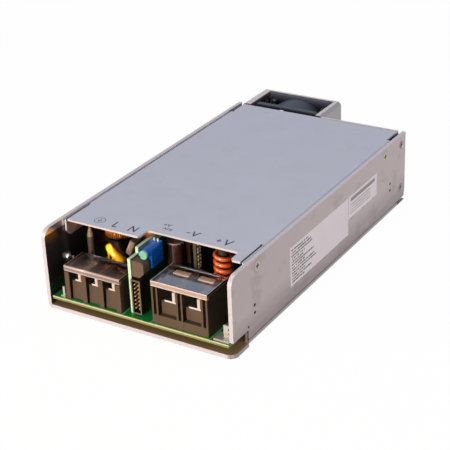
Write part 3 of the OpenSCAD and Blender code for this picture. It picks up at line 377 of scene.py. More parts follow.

# %% [markdown]
# ## Sheet metal
# The case, cover and rear panel are plated sheet with a satin bloom and faint stains from handling. The
# outer walls are painted darker towards their foot, which is painted shade. Sheared edges and wall tops worn
# by rubbing are paler and less metallic than the faces. Inside, the walls are painted dark up to the cover,
# as painted shade, and pale above that, as painted light. Each could have a material slot of its own, but
# the solids have one slot, so these places are found by their coordinates. A dark line of painted shade
# along the foot of the outer walls marks where the bend starts.

# %% Plated sheet
PLATED = 0.8
SKIN, FILM = 0.06, 0.02  # how near to a face a place counts as lying on it


def plated_sheet(name, colour, rough, stain_and_shade):
    """Plated steel with soft clouds, blotches of stain and a very shallow bump."""
    sheet = Finish(name, colour, rough, PLATED)
    sheet.cloud(0.035, 0.05)
    blotch = sheet.noise(0.11, 5.0) - 0.56
    sheet.paint((blotch * 6) & 0.5, stain_and_shade)
    sheet.gloss(rough, 0.05, 0.3)
    sheet.bump(sheet.noise(1.2), 0.0015)
    return sheet


case = plated_sheet("plated_case", (172, 157, 158), 0.3, (150, 134, 134))
cover = plated_sheet("plated_cover", (177, 174, 180), 0.42, (173, 170, 176))
panel = plated_sheet("plated_panel", (152, 147, 150), 0.35, (142, 137, 140))
print("sheets", [sheet.material.name for sheet in (case, cover, panel)])

# %% Case edges and base
CORNER_R = 5
BASE_LOW, BASE_HIGH = 1.9, 2.1
PALE_DEPTH = 4
x, y, z = case.axes()
fall = CORNER_R - y
rise = z - (CASE_TOP - CORNER_R)
rounded = (fall > 0) & (rise > 0) & (fall * fall + rise * rise > (CORNER_R - SKIN) ** 2)
sheared = ((y < SKIN) & (rise < 0)) | rounded
pale_top = z > CASE_TOP - SKIN
base = (z > BASE_LOW) & (z < BASE_HIGH) & (y > SKIN)
case.paint(sheared, (194, 187, 192))
case.paint(pale_top, (212, 204, 207))
# The base's top inside is painted brown, a painted reflection of the board above it, and paler towards the
# front lip, a painted pool of light where the front lamp reaches in.
case.paint(base, (150, 122, 84))
case.paint((base & (y < PALE_DEPTH)) * (1 - y * (1 / PALE_DEPTH)), (172, 142, 108))
case.set("Metallic", PLATED - (sheared | pale_top | base) * 0.65)
print("raw edges up to", round(CASE_TOP, 2), "mm")

# %% Case walls
OUTSIDE = 50
FOOT_SHADE_TOP, FOOT_SHADE_MIDDLE, FOOT_SHADE_FADE = 18, 3.5, 0.069
BEND_SHADE_LOW, BEND_SHADE_HIGH = 3.3, 4.0
INNER_LOW, INNER_HIGH = 48.7, 48.85
UNDER_COVER = 37.5
outer_wall = (abs(x) > OUTSIDE) & (y > SKIN)
# The outer walls are painted darker towards their foot, with streaks: this darkening is painted shade.
streaks = case.noise(0.5, 3.0, (1, 0.12, 1))
stain_and_shade = (z < FOOT_SHADE_TOP) * (1 - abs(z - FOOT_SHADE_MIDDLE) * FOOT_SHADE_FADE) * (0.35 + streaks * 0.7)
case.paint(outer_wall * stain_and_shade, (104, 92, 93))
# A dark line of painted shade marks where the bend starts. The strip below it is painted a lighter grey, as
# a painted reflection of the floor.
case.paint((outer_wall & (z > BEND_SHADE_LOW) & (z < BEND_SHADE_HIGH)) * 0.8, (58, 52, 52))
case.paint((outer_wall & (z < BEND_SHADE_LOW)) * 0.7, (150, 138, 139))
inner_wall = (abs(x) < INNER_HIGH) & (abs(x) > INNER_LOW)
# Inside, the walls are painted dark below the cover as painted shade, and pale above it as painted light in
# the gap under the cover's edge.
case.paint(inner_wall & (z < UNDER_COVER), (92, 86, 86))
case.paint(inner_wall & (z > UNDER_COVER), (222, 212, 212))
case.set("Roughness", 0.3 - inner_wall * 0.16 + (case.noise(0.3) - 0.5) * 0.08)
case.on("chassis")
print("walls shaded up to", FOOT_SHADE_TOP, "mm")

# %% Cover and rear panel
COVER_FRONT = 15
NOTCH_LEFT, NOTCH_RIGHT, NOTCH_BACK = -6.4, 41.5, 22.4
FLANGE, FLANGE_DOWN = 48.2, 0.3
PANEL_LIT_TOP = 0.1
x, y, z = cover.axes()
notch = (y < NOTCH_BACK + SKIN) & (x > NOTCH_LEFT - SKIN) & (x < NOTCH_RIGHT + SKIN)
sheared = ((y < COVER_FRONT + SKIN) | notch) & (z < COVER_TOP - FILM)
cover.paint(sheared, (196, 188, 186))
# The cover's side flanges below its top face are painted near white, painted light in the dark gap between
# cover and walls.
cover.paint((abs(x) > FLANGE) & (z < COVER_TOP - FLANGE_DOWN), (226, 222, 226))
cover.set("Metallic", PLATED - sheared * 0.7)
cover.on("top_cover")
x, y, z = panel.axes()
# The rear panel's top edge is painted pale and less metallic, a painted highlight along the cover's rear
# edge.
pale_top = z > CASE_TOP - PANEL_LIT_TOP
panel.paint(pale_top, (226, 210, 206))
panel.set("Metallic", PLATED - pale_top * 0.65)
panel.on("rear_panel")
print("cover's raw edge from", COVER_FRONT, "to", NOTCH_BACK, "mm")

# %% [markdown]
# ## Fasteners and tinned parts
# Screws, clamps and brackets are small and bright. Their brightness is mostly reflection, so they are
# metallic and differ in tone and in how far their gloss wanders. Cross recesses could be cut into the
# screws, but at this size a dark cross of painted shade on each head looks the same and leaves the solids
# alone.


# %% Bright metal
def bright_metal(name, colour, rough, *where, metal=1.0):
    """Plain metal with a faint cloud in its colour and its gloss."""
    tin = Finish(name, colour, rough, metal)
    tin.cloud(0.06, 0.4)
    tin.gloss(rough, 0.08, 1.5)
    return tin.on(*where)


plain = [
    bright_metal("nickel", (226, 222, 214), 0.2, "earth_stud", "board_screws", "board_standoffs"),
    bright_metal("tinned_dull", (190, 185, 178), 0.3, "earth_bracket", "front_post", metal=0.5),
    bright_metal("pin_tin", (244, 230, 200), 0.3, "trimmer_pins", metal=0.5),
    bright_metal("screw_steel", (220, 212, 202), 0.25, "ac_screws", "dc_screws", metal=0.7),
    bright_metal("gold_plated", (240, 206, 140), 0.3, "signal_pins", metal=0.5),
    bright_metal("extruded", (170, 172, 176), 0.4, "heatsink"),
]
solder = bright_metal("solder", (226, 206, 158), 0.4, "rectifier_pads", metal=0.2)
lug_tin = bright_metal("lug_tin", (204, 184, 168), 0.35, metal=0.3)
print("bright metals", [tin.material.name for tin in (*plain, solder, lug_tin)])

# %% Screw heads
RECESS_SHADE = (38, 34, 32)
COVER_HEAD, REAR_HEAD, FAN_HEAD = 2.5, 2.1, 2.8


def ends(node, axis, inset):
    """The two places that lie inset from a node's ends, along one axis."""
    low, high = reach(node)
    return low[axis] + inset, high[axis] - inset


def middle(node, axis):
    return sum(ends(node, axis, 0)) / 2


def cross(finish, across, up, places, half, width):
    """Paints a dark cross in the middle of each screw head, in the plane of its face, as the painted shade
    of a recess.
    """
    for a, b in places:
        out = abs(across - a)
        high = abs(up - b)
        arms = ((out < width) & (high < half)) | ((high < width) & (out < half))
        finish.paint(arms, RECESS_SHADE)


zinc = bright_metal("screw_zinc", (176, 166, 154), 0.3, "cover_screws", metal=0.7)
x, y, z = zinc.axes()
heads = [(v, middle("cover_screws", 2)) for v in ends("cover_screws", 1, COVER_HEAD)]
cross(zinc, y, z, heads, half=1.3, width=0.28)
dull = bright_metal("dull_plated", (132, 130, 128), 0.4, "rear_screws", metal=0.8)
x, y, z = dull.axes()
heads = [(middle("rear_screws", 1), v) for v in ends("rear_screws", 2, REAR_HEAD)]
cross(dull, y, z, heads, half=1.1, width=0.25)
fan_steel = bright_metal("fan_steel", (150, 148, 146), 0.4, "fan_screws", metal=0.8)
x, y, z = fan_steel.axes()
heads = [(a, b) for a in ends("fan_screws", 0, FAN_HEAD) for b in ends("fan_screws", 2, FAN_HEAD)]
cross(fan_steel, x, z, heads, half=1.6, width=0.32)
print("fan screws at", [[round(v, 1) for v in head] for head in heads])

# %% [markdown]
# The clamps in the terminals are bright tin. Their folded upper ends, under the lids, look cream in the
# photograph, so they are much less metallic there. The clamps could be split in two at the fold, but a
# height for each block finds the same place.

# %% Clamps
OUTPUT_FOLD, MAINS_FOLD = 25, 20
BETWEEN_BLOCKS = -9
tinned = bright_metal("tinned", (250, 240, 226), 0.14, "ac_clamps", "dc_clamps")
x, y, z = tinned.axes()
fold = (z > OUTPUT_FOLD) | ((z > MAINS_FOLD) & (x < BETWEEN_BLOCKS))
tinned.paint(fold, (246, 222, 196))
tinned.set("Metallic", 1 - fold * 0.85)
print("clamps fold at", MAINS_FOLD, "and", OUTPUT_FOLD, "mm")

# %% [markdown]
# ## Boards
# A circuit board is a straw-coloured laminate under a green mask. The mask covers the broad faces only, so
# the cut edges show the laminate. Faint lighter traces run under the mask. A brick pattern is a quick way
# to get lines that turn square corners, and at this size nobody follows one. The outlines of the terminal
# blocks are printed on the main board in white.

# %% Main board
CUT = 0.1
PRINT_MARGIN, PRINT_WIDTH = 1.0, 0.25
PALE_EDGE = 0.7


def masked_board(name, mask, where):
    """Solder mask with faint traces under it."""
    board = Finish(name, mask, 0.3, 0.0, coat_weight=0.15, coat_roughness=0.15, specular_ior_level=0.3)
    bricks = {"Vector": board.place(), "Scale": 0.32, "Mortar Size": 0.03}
    traces = board.node("ShaderNodeTexBrick", {"offset": 0.37}, bricks, "Fac")
    board.paint(traces * 0.25, (70, 150, 100))
    board.cloud(0.12, 0.12)
    return board.on(where)


def outline(x, y, low, high):
    """A printed frame round a block, in the board's own plane."""
    out = abs(x - (low[0] + high[0]) / 2) - (high[0] - low[0]) / 2 - PRINT_MARGIN
    back = abs(y - (low[1] + high[1]) / 2) - (high[1] - low[1]) / 2 - PRINT_MARGIN
    edge = out | back
    return (edge > -PRINT_WIDTH / 2) & (edge < PRINT_WIDTH / 2)


main = masked_board("main_mask", (12, 124, 58), "main_board")
x, y, z = main.axes()
cut_edge = y < reach("main_board")[0][1] + CUT
main.paint(cut_edge, (180, 184, 130))
# The lower part of the cut edge is painted darker brown, as painted shade below its pale upper part.
main.paint(cut_edge & (z < BOARD_TOP - PALE_EDGE), (122, 114, 72))
for block in ("ac_block", "dc_block"):
    main.paint(outline(x, y, *reach(block)) & (z > BOARD_TOP - FILM), (206, 226, 206))
print("main board's face at", round(BOARD_TOP, 2), "mm")

# %% [markdown]
# Two smaller boards stand upright. The signal board is pale along its front edge and its top. The
# rectifier board is dark, and solder joins its pads in pairs, with bare gaps between. Modelling the joints
# would need a new solid for each, so the gaps are painted across the pads, and the solder on the board
# beside them.

# %% Upright boards
SIGNAL_TOP = 3.0
PAD_STEP, PAD_SOLDER = 1.9, 1.25
signal = masked_board("signal_mask", (30, 96, 62), "signal_board")
x, y, z = signal.axes()
low, high = reach("signal_board")
signal.paint((y < low[1] + CUT) | (z > high[2] - SIGNAL_TOP), (186, 208, 176))

rectifier = masked_board("rectifier_mask", (24, 26, 21), "rectifier_board")
x, y, z = rectifier.axes()
low, high = reach("rectifier_board")
rectifier.paint((z > high[2] - CUT) | (y < low[1] + CUT), (72, 70, 56))
low, high = reach("rectifier_pads")
column = (y > low[1]) & (y < high[1]) & (x > low[0] - FILM)
rectifier.paint(((high[2] - z) % PAD_STEP < PAD_SOLDER) & column, (206, 188, 146))
x, y, z = solder.axes()
solder.paint((high[2] - z) % PAD_STEP > PAD_SOLDER, (44, 40, 32))
print("solder rows:", round((high[2] - low[2]) / PAD_STEP))

# %% [markdown]
# ## Mouldings
# Terminal blocks, sockets and the fan are moulded in filled plastic with a fine spark-eroded grain. Real
# grain is far too fine to model, so it is a shallow bump. The colours differ, and so does the gloss.
# Inside the cells of the terminal blocks, the right side of each barrier is painted almost black, as the
# photograph shows it.


# %% Mouldings
def moulded(name, colour, rough, *where, coat=0.0, shine=0.5):
    """Plastic with a fine grain, cloudy in colour and gloss."""
    plastic = Finish(name, colour, rough, 0.0, coat_weight=coat, coat_roughness=0.1,
                     specular_ior_level=shine)
    plastic.cloud(0.08, 0.15)
    plastic.gloss(rough, 0.06, 1.0)
    plastic.bump(plastic.noise(4.0, 2.0), 0.004)
    return plastic.on(*where)


# The choke's pedestal and the transistors are black, painted darker still as painted shade.
moulded("pedestal_black", (22, 19, 17), 0.4, "choke_base", "transistors", shine=0.15)
moulded("housing_taupe", (98, 80, 68), 0.45, "switch_box", shine=0.1)
moulded("trimmer_blue", (13, 84, 170), 0.28, "trimmer_body", shine=0.3)
moulded("rotor_green", (114, 178, 154), 0.4, "trimmer_rotor")
moulded("fan_slate", (52, 56, 68), 0.5, "fan_frame", shine=0.3)
moulded("fan_black", (38, 40, 48), 0.45, "fan_rotor", shine=0.3)
moulded("ferrite", (48, 44, 42), 0.6, "choke_core", "transformer_core", "output_choke_core", shine=0.2)
moulded("dipped_yellow", (255, 182, 16), 0.22, "surge_disc", coat=1.0)
moulded("film_brown", (112, 95, 84), 0.4, "film_capacitor", shine=0.2)
moulded("tape_amber", (150, 96, 44), 0.35, "transformer_winding")
print("materials so far:", len(bpy.data.materials))

# %% Terminal blocks
POLE, BARRIER = 9.55, 2.6
OUTPUT_POLE, OUTPUT_BARRIER = 13, 3.4
MAINS_LAST = -9.7
OUTPUT_FIRST, OUTPUT_LAST = 7.8, 37
HAIR = 0.05
SHADE = (30, 24, 19)
terminal = moulded("block_brown", (88, 72, 58), 0.5, "ac_block", "dc_block", shine=0.08)
x, y, z = terminal.axes()
out = (x - reach("ac_block")[0][0]) % POLE
side = (out > BARRIER - HAIR) & (out < BARRIER + HAIR)
terminal.paint(side & (x < MAINS_LAST), SHADE)
out = (x - reach("dc_block")[0][0]) % OUTPUT_POLE
side = (out > OUTPUT_BARRIER - HAIR) & (out < OUTPUT_BARRIER + HAIR)
terminal.paint(side & (x > OUTPUT_FIRST) & (x < OUTPUT_LAST), SHADE)
print("poles every", POLE, "and", OUTPUT_POLE, "mm")

# %% [markdown]
# Two mouldings have a second tone. The front face of the pin socket's rim is painted paler than its well,
# as painted light, and the fuse wears a dark sleeve with faint rings and a paler cap. A second material
# would need faces picked by hand, so both are painted by height or depth.

# %% Socket and fuse
CAP_LOW = 29
RING_STEP, RING_WIDTH = 2.6, 0.35
socket = moulded("socket_black", (40, 33, 28), 0.4, "signal_socket", shine=0.15)
x, y, z = socket.axes()
# The front face of the rim is painted paler, as painted light.
socket.paint(y < reach("signal_socket")[0][1] + HAIR, (104, 90, 74))
fuse = moulded("sleeve_grey", (74, 62, 55), 0.4, "sleeved_fuse", coat=0.4, shine=0.3)
x, y, z = fuse.axes()
fuse.paint((z > CAP_LOW) * 0.8, (150, 132, 110))
fuse.paint(((z % RING_STEP) < RING_WIDTH) * 0.5, (40, 34, 30))
print("fuse cap from", CAP_LOW, "mm up")

# %% [markdown]
# ## Capacitor cans
# A can wears a shrunk sleeve with a pale stripe down the side of its negative lead. The sleeve ends short
# of the top, where bare aluminium shows. Sleeve and can are one solid, so both are painted: the stripe is
# the part of the can past a line, and the bare top is what lies above the sleeve's end. The can in the
# front opening has a dark red sleeve.

# %% Capacitor cans
RED_STRIPE_X, RED_STRIPE_Y = -0.2, 29
BLUE_STRIPE_X = 42.2
BLACK_STRIPE_Y = 105


def sleeved_can(name, node, sleeve, stripe, cap):
    """A can in a glossy sleeve, with a stripe and a bare top of cap millimetres."""
    can = Finish(name, sleeve, 0.25, 0.0, coat_weight=0.6, coat_roughness=0.12)
    x, y, z = can.axes()
    can.cloud(0.15, 0.25, (1, 1, 0.15))
    can.paint(stripe(x, y), (190, 186, 190))
    bare = z > reach(node)[1][2] - cap
    can.paint(bare, (178, 150, 146))
    can.set("Metallic", bare * 0.5)
    can.on(node)
    print(name, "is bare above", round(reach(node)[1][2] - cap, 1), "mm")


sleeved_can("sleeve_red", "control_capacitor", (54, 29, 24),
            lambda x, y: (x < RED_STRIPE_X) & (y > RED_STRIPE_Y), cap=0.7)
sleeved_can("sleeve_blue", "output_capacitors", (44, 48, 86), lambda x, y: x > BLUE_STRIPE_X, cap=0.3)
sleeved_can("sleeve_black", "bulk_capacitors", (40, 40, 52), lambda x, y: y < BLACK_STRIPE_Y, cap=0.3)

# %% [markdown]
# ## Enamelled copper
# Winding wire is copper under a clear enamel. Bare copper would be all reflection, and go dark inside the
# case. The enamel gives it a body colour, so it is only partly metallic, with a coat, and redder in
# patches where the enamel is thick.


# %% Copper
def enamelled(name, colour, shade, rough, metal):
    """Copper under a clear coat, patchy between two tones."""
    copper = Finish(name, colour, rough, metal, coat_weight=0.6, coat_roughness=0.12)
    copper.paint(copper.noise(0.5) * 0.6, shade)
    return copper.gloss(rough, 0.05, 1.0)


line_copper = enamelled("line_copper", (255, 164, 74), (246, 122, 50), 0.3, 0.15)
line_copper.on("choke_winding", "boost_choke")
output_copper = enamelled("output_copper", (244, 112, 56), (196, 66, 32), 0.25, 0.4)
output_copper.on("output_choke_coil")
print("copper", line_copper.material.name, output_copper.material.name)

# %% [markdown]
# ## Winding wire
# A wire could be a curve with a round bevel, which is quick, but here it is drawn the way it is wound: a
# ring of points, its section, is drawn out straight and spun round corners. That shows where each bend
# lies. A turn that closes on itself only needs its doubled points merged.


# %% Drawing a wire
def section(name, radius, sides, place, turn):
    """Starts a wire with a ring of points, and leaves that ring selected in edit mode."""
    bpy.ops.object.select_all(action="DESELECT")
    bpy.ops.mesh.primitive_circle_add(vertices=sides, radius=radius * MM, location=at(*place), rotation=turn)
    wire = bpy.context.active_object
    wire.name = name
    bpy.ops.object.transform_apply(location=True, rotation=True, scale=True)
    bpy.ops.object.mode_set(mode="EDIT")
    bpy.ops.mesh.select_all(action="SELECT")
    return wire


def draw(*step):
    """Draws the selected ring out by a step in millimetres."""
    bpy.ops.mesh.extrude_region_move(TRANSFORM_OT_translate={"value": Vector(step) * MM})


def corner(centre, degrees, steps):
    """Spins the selected ring round a corner, about an axis along Y."""
    bpy.ops.mesh.spin(steps=steps, angle=math.radians(degrees), center=at(*centre), axis=(0, 1, 0))


def close_wire(wire):
    """Merges what meets, turns the faces outwards and smooths them."""
    bpy.ops.mesh.select_all(action="SELECT")
    bpy.ops.mesh.remove_doubles(threshold=0.00001)
    bpy.ops.mesh.normals_make_consistent(inside=False)
    bpy.ops.object.mode_set(mode="OBJECT")
    bpy.ops.object.shade_smooth()
    return wire


print("wires can be drawn")

# %% [markdown]
# The line choke repeats one rounded turn about the axis of its ring. One long wire would need all its
# bends drawn, so a single closed turn is drawn and then copied. It starts half way up the outside, goes
# over the top, down through the hole and under the ring, and comes back to where it began.

# %% One turn of the line choke
WIRE_R, WIRE_SIDES = 0.4, 8
RING_X, RING_Y = -35.0, 39.5
RING_OUT, RING_IN = 7.5, 4.5
BEND, BEND_STEPS = 0.8, 4
low, high = reach("choke_winding")
outer, inner = RING_X + RING_OUT - WIRE_R, RING_X + RING_IN + WIRE_R
foot, head = low[2] + WIRE_R, high[2] - WIRE_R
half = (head - foot) / 2 - BEND
across = outer - inner - 2 * BEND
turn = section("line_turn", WIRE_R, WIRE_SIDES, (outer, RING_Y, (foot + head) / 2), (0, 0, 0))
draw(0, 0, half)
corner((outer - BEND, RING_Y, head - BEND), -90, BEND_STEPS)
draw(-across, 0, 0)
corner((inner + BEND, RING_Y, head - BEND), -90, BEND_STEPS)
draw(0, 0, -2 * half)
corner((inner + BEND, RING_Y, foot + BEND), -90, BEND_STEPS)
draw(across, 0, 0)
corner((outer - BEND, RING_Y, foot + BEND), -90, BEND_STEPS)
draw(0, 0, half)
close_wire(turn)
print("one turn:", len(turn.data.polygons), "faces", [round(v / MM, 2) for v in turn.dimensions])

# %% All turns of the line choke
TURNS = 38
GAP = 20


def repeat(first, name, moves, finish):
    """Copies a piece by each of the moves, joins the copies and gives them a finish."""
    copies = []
    for move in moves:
        copy = first.copy()
        copy.data = first.data.copy()
        copy.data.transform(move)
        bpy.context.scene.collection.objects.link(copy)
        copies.append(copy)
    bpy.data.objects.remove(first)
    bpy.ops.object.select_all(action="DESELECT")
    for copy in copies:
        copy.select_set(True)
    bpy.context.view_layer.objects.active = copies[0]
    bpy.ops.object.join()
    copies[0].name = name
    copies[0].data.materials.clear()
    copies[0].data.materials.append(finish.material)
    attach(copies[0], "supply")
    return copies[0]


axis = at(RING_X, RING_Y, 0)
there, back = Matrix.Translation(axis), Matrix.Translation(-axis)
angles = [math.radians(GAP + (360 - 2 * GAP) * (i + 0.5) / TURNS) for i in range(TURNS)]
moves = [there @ Matrix.Rotation(a, 4, "Z") @ back for a in angles]
winding = repeat(turn, "line_choke_turns", moves, line_copper)
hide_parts("choke_winding")
print("line choke:", len(winding.data.polygons), "faces")

# %% [markdown]
# The output choke is one thick wire on a rod. Its helix could be spun turn by turn, but a Screw modifier
# climbs as it goes round and does it in one go. The section is screwed about the frame's own axis and then
# moved to the rod. The upper end is drawn out to the right and down to the board.

# %% Output choke's lead
COIL_R, COIL_WIRE, COIL_SIDES = 3.55, 1.1, 14
COIL_TURNS, COIL_PITCH = 8, 3.1063
COIL_X, COIL_Y, COIL_LOW = 30.2, 27.5, 10.6
COIL_TOP = COIL_LOW + COIL_TURNS * COIL_PITCH
LEAD_OUT, LEAD_BEND, LEAD_STEPS = 3, 2.6, 8
LEAD_END = BOARD_TOP + 0.1
ON_EDGE = (0, math.pi / 2, 0)
start = (COIL_X, COIL_Y + COIL_R, COIL_TOP)
lead = section("output_lead", COIL_WIRE, COIL_SIDES, start, ON_EDGE)
draw(LEAD_OUT, 0, 0)
corner((COIL_X + LEAD_OUT, COIL_Y + COIL_R, COIL_TOP - LEAD_BEND), 90, LEAD_STEPS)
draw(0, 0, LEAD_END - (COIL_TOP - LEAD_BEND))
bpy.ops.mesh.edge_face_add()
close_wire(lead)
print("lead ends at", round(LEAD_END, 2), "mm")

# %% Output choke's turns
COIL_STEPS = 36
helix = section("output_turns", COIL_WIRE, COIL_SIDES, (0, COIL_R, 0), ON_EDGE)
bpy.ops.object.mode_set(mode="OBJECT")
helix.data.transform(Matrix.Translation((0, -FRONT, 0)))
climb = helix.modifiers.new("climb", "SCREW")
climb.angle = -2 * math.pi
climb.screw_offset = COIL_PITCH * MM
climb.iterations = COIL_TURNS
climb.steps = COIL_STEPS
climb.render_steps = COIL_STEPS
bpy.ops.object.modifier_apply(modifier="climb")
helix.data.transform(Matrix.Translation(at(COIL_X, COIL_Y, COIL_LOW)))
bpy.ops.object.select_all(action="DESELECT")
lead.select_set(True)
helix.select_set(True)
bpy.context.view_layer.objects.active = helix
bpy.ops.object.join()
bpy.ops.object.mode_set(mode="EDIT")
close_wire(helix)
helix.name = "output_choke_turns"
helix.data.materials.append(output_copper.material)
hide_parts("output_choke_coil")
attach(helix, "supply")
print("output choke:", len(helix.data.polygons), "faces", [round(v / MM, 2) for v in helix.dimensions])

# %% [markdown]
# ## Wire stops
# In each terminal cell a small tinned lug stands on the front of the clamp, beside the way of the wire,
# and stops it from slipping out sideways. A plain box would have edges that catch no light, so a Bevel
# modifier softens one lug, and the others are copies of it, a pole further on.

# %% Wire stops
MAINS_LUG = (-33.05, 2.0, 17.4), (-31.6, 3.98, 21.0)
OUTPUT_LUG = (18.75, 2.0, 19.8), (20.3, 4.38, 24.6)
LUG_EDGE, LUG_STEPS = 0.15, 3


def plate(name, low, high):
    """A box between two corners, with its edges rounded off."""
    bpy.ops.object.select_all(action="DESELECT")
    bpy.ops.mesh.primitive_cube_add(size=1, location=(at(*low) + at(*high)) / 2)
    box = bpy.context.active_object
    box.name = name
    box.scale = at(*high) - at(*low)
    bpy.ops.object.transform_apply(location=True, rotation=True, scale=True)
    soft = box.modifiers.new("soft", "BEVEL")
    soft.width = LUG_EDGE * MM
    soft.segments = LUG_STEPS
    bpy.ops.object.modifier_apply(modifier="soft")
    return box


def along(step, count):
    """Moves to the right, one for each pole."""
    return [Matrix.Translation((step * i * MM, 0, 0)) for i in range(count)]


mains = repeat(plate("lug", *MAINS_LUG), "mains_lugs", along(POLE, 3), lug_tin)
output = repeat(plate("lug", *OUTPUT_LUG), "output_lugs", along(OUTPUT_POLE, 2), lug_tin)
print("lugs:", [len(o.data.polygons) for o in (mains, output)], "faces")

# %% [markdown]
# ## Clear lids
# The lids over the terminals are clear moulded plastic, and most of what one sees on them is reflection:
# the bright studio in front of the cover's edge, and the dark inside behind it. Reflections are tinted a
# little blue, and a slight tilt of the output lid's shading decides how much of the studio it shows. The
# lip at the front scatters light, so it is a second, opaque shader laid over the clear one. The same
# opaque shader gives paler bands along the lip's edges and the side edges of the top, which are painted
# highlights, and a painted reflection of the studio on the front of the top, fading towards the back.
# Shadow and diffuse rays pass straight through, because the path tracer can't find lamps through a
# bending surface.

# %% Clear lids
LIP_HEIGHT, LIP_SHARE = 2.6, 0.75
LID_FACE = 0.08
ARRIS = 0.22
WEAR = 24
BLUISH = (0.66, 0.8, 1, 1)


def clear_lid(name, node, lip, edge_highlight, upper, lower, glare_depth, front_glare, tilt):
    """A clear pane with an opaque lip, painted highlight bands along its edges, a painted reflection on the
    front of its top, and shading tilted along its depth.
    """
    low, high = reach(node)
    pane = Finish(name, (214, 200, 196), 0.04, 0.0, transmission_weight=1.0, ior=2.05, specular_tint=BLUISH)
    pane.gloss(0.015, 0.01, 0.3)
    x, y, z = pane.axes()
    top = z > high[2] - LID_FACE
    front = y < low[1] + SKIN
    highlight_bands = (z > high[2] - upper) | (z < high[2] - LIP_HEIGHT + lower)
    arris = (front & highlight_bands) | (top & ((x > high[0] - ARRIS) | (x < low[0] + ARRIS)))
    lip_tone_and_highlights = pane.mix(pane.noise(0.8), srgb(*lip), srgb(*(v + WEAR for v in lip)))
    # The paler bands along the lip's edges and the top's side edges are painted highlights.
    lip_tone_and_highlights = pane.mix(arris, lip_tone_and_highlights, srgb(*edge_highlight))
    opaque_layer = pane.node("ShaderNodeBsdfPrincipled", {}, {"Base Color": lip_tone_and_highlights, "Roughness": 0.35})
    # The front of the top carries the opaque shader, fading to clear towards the back: a painted reflection
    # of the bright studio.
    glare_zone = top & (y < low[1] + glare_depth)
    glare_share = glare_zone * (low[1] + glare_depth - y) * (front_glare / glare_depth)
    pane.over(((front | arris) * LIP_SHARE) | glare_share, opaque_layer)
    pane.bump((y - low[1]) * tilt, 1.0)
    pane.over(pane.rays("Is Shadow Ray", "Is Diffuse Ray"), pane.node("ShaderNodeBsdfTransparent"))
    pane.on(node)
    print(name, "lip from", round(high[2] - LIP_HEIGHT, 1), "to", round(high[2], 1), "mm")


clear_lid("mains_pane", "ac_lid", (118, 95, 87), (192, 168, 160),
          upper=0.9, lower=0.5, glare_depth=11, front_glare=0.42, tilt=0.0)
clear_lid("output_pane", "dc_lid", (172, 146, 130), (250, 228, 216),
          upper=0.4, lower=0.3, glare_depth=6, front_glare=0.02, tilt=0.07)

# %% [markdown]
# ## Labels
# The two labels on the right wall are white film with rows of short dark dashes, on the large one only in
# its front part. A picture could be laid on them, but dashes worked out by nodes stay sharp at any size.
# Each row is cut into words by noise that is the same all over the row's height, and ends at a length of
# its own. The small label has fainter rows and a grey bar along its top.

# %% Labels
ROW, LINE = 1.5, 0.8
WORD_NOISE, ROW_NOISE, END_NOISE = 1.5, 3.1, 7.3
WORD_LEVEL = 0.42
ROW_START, ROW_END, ROW_RAGGED = 53, 64, 14
ROWS_LOW, ROWS_HIGH = 12, 29.5
SMALL_ROWS = 113.5, 136, 20.5, 26.5
SMALL_BAR = 114, 141.5, 27.6, 29.6


def panel_of(y0, y1, z0, z1):
    """1 within a rectangle on the wall."""
    return (y > y0) & (y < y1) & (z > z0) & (z < z1)


label = Finish("label_film", (246, 236, 239), 0.5)
x, y, z = label.axes()
row = z - (z % ROW)
letters = label.node("ShaderNodeCombineXYZ", {}, {"Y": y * WORD_NOISE, "Z": row * ROW_NOISE})
words = label.node("ShaderNodeTexNoise", {}, {"Vector": letters, "Scale": 1.0, "Detail": 1.0}) > WORD_LEVEL
ragged = label.node("ShaderNodeTexWhiteNoise", {"noise_dimensions": "1D"}, {"W": row * END_NOISE})
rows = ((z % ROW) < LINE) & words
large_print = panel_of(ROW_START, ROW_END + ragged * ROW_RAGGED, ROWS_LOW, ROWS_HIGH)
label.paint((rows & large_print) * 0.95, (66, 60, 62))
label.paint((rows & panel_of(*SMALL_ROWS)) * 0.5, (96, 90, 92))
label.paint(panel_of(*SMALL_BAR) * 0.8, (104, 98, 100))
label.cloud(0.03, 0.08)
label.on("side_labels")
print("label rows every", ROW, "mm")

# %% [markdown]
# ## Marks on the cover
# The poles are named on the cover in thin dark ink: an earth sign, L, N, the trimmer's mark, and the signs
# of the two output poles. Ink could be painted by a mask, but letters are shapes that Blender already has
# as text. A letter starts as text, becomes a mesh, and is fitted into the place it has on the cover. Ink
# has almost no height, so each mark is drawn out by a fortieth of a millimetre.

# %% Ink
INK_LOW = COVER_TOP - 0.005
INK_H = 0.025
ink = Finish("dark_ink", (42, 42, 52), 0.6)
ink.cloud(0.12, 1.2)


def raise_ink(mark, name):
    """Draws a flat mark out to the ink's height and sets it on the cover."""
    bpy.ops.object.mode_set(mode="EDIT")
    bpy.ops.mesh.select_all(action="SELECT")
    bpy.ops.mesh.remove_doubles(threshold=0.000001)
    bpy.ops.mesh.extrude_region_move(TRANSFORM_OT_translate={"value": (0, 0, INK_H * MM)})
    bpy.ops.mesh.select_all(action="SELECT")
    bpy.ops.mesh.normals_make_consistent(inside=False)
    bpy.ops.object.mode_set(mode="OBJECT")
    mark.name = name
    mark.data.materials.clear()
    mark.data.materials.append(ink.material)
    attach(mark, "supply")
    return mark


print("ink from", round(INK_LOW, 3), "to", round(INK_LOW + INK_H, 3), "mm")

# %% Letters
STROKE = 0.012


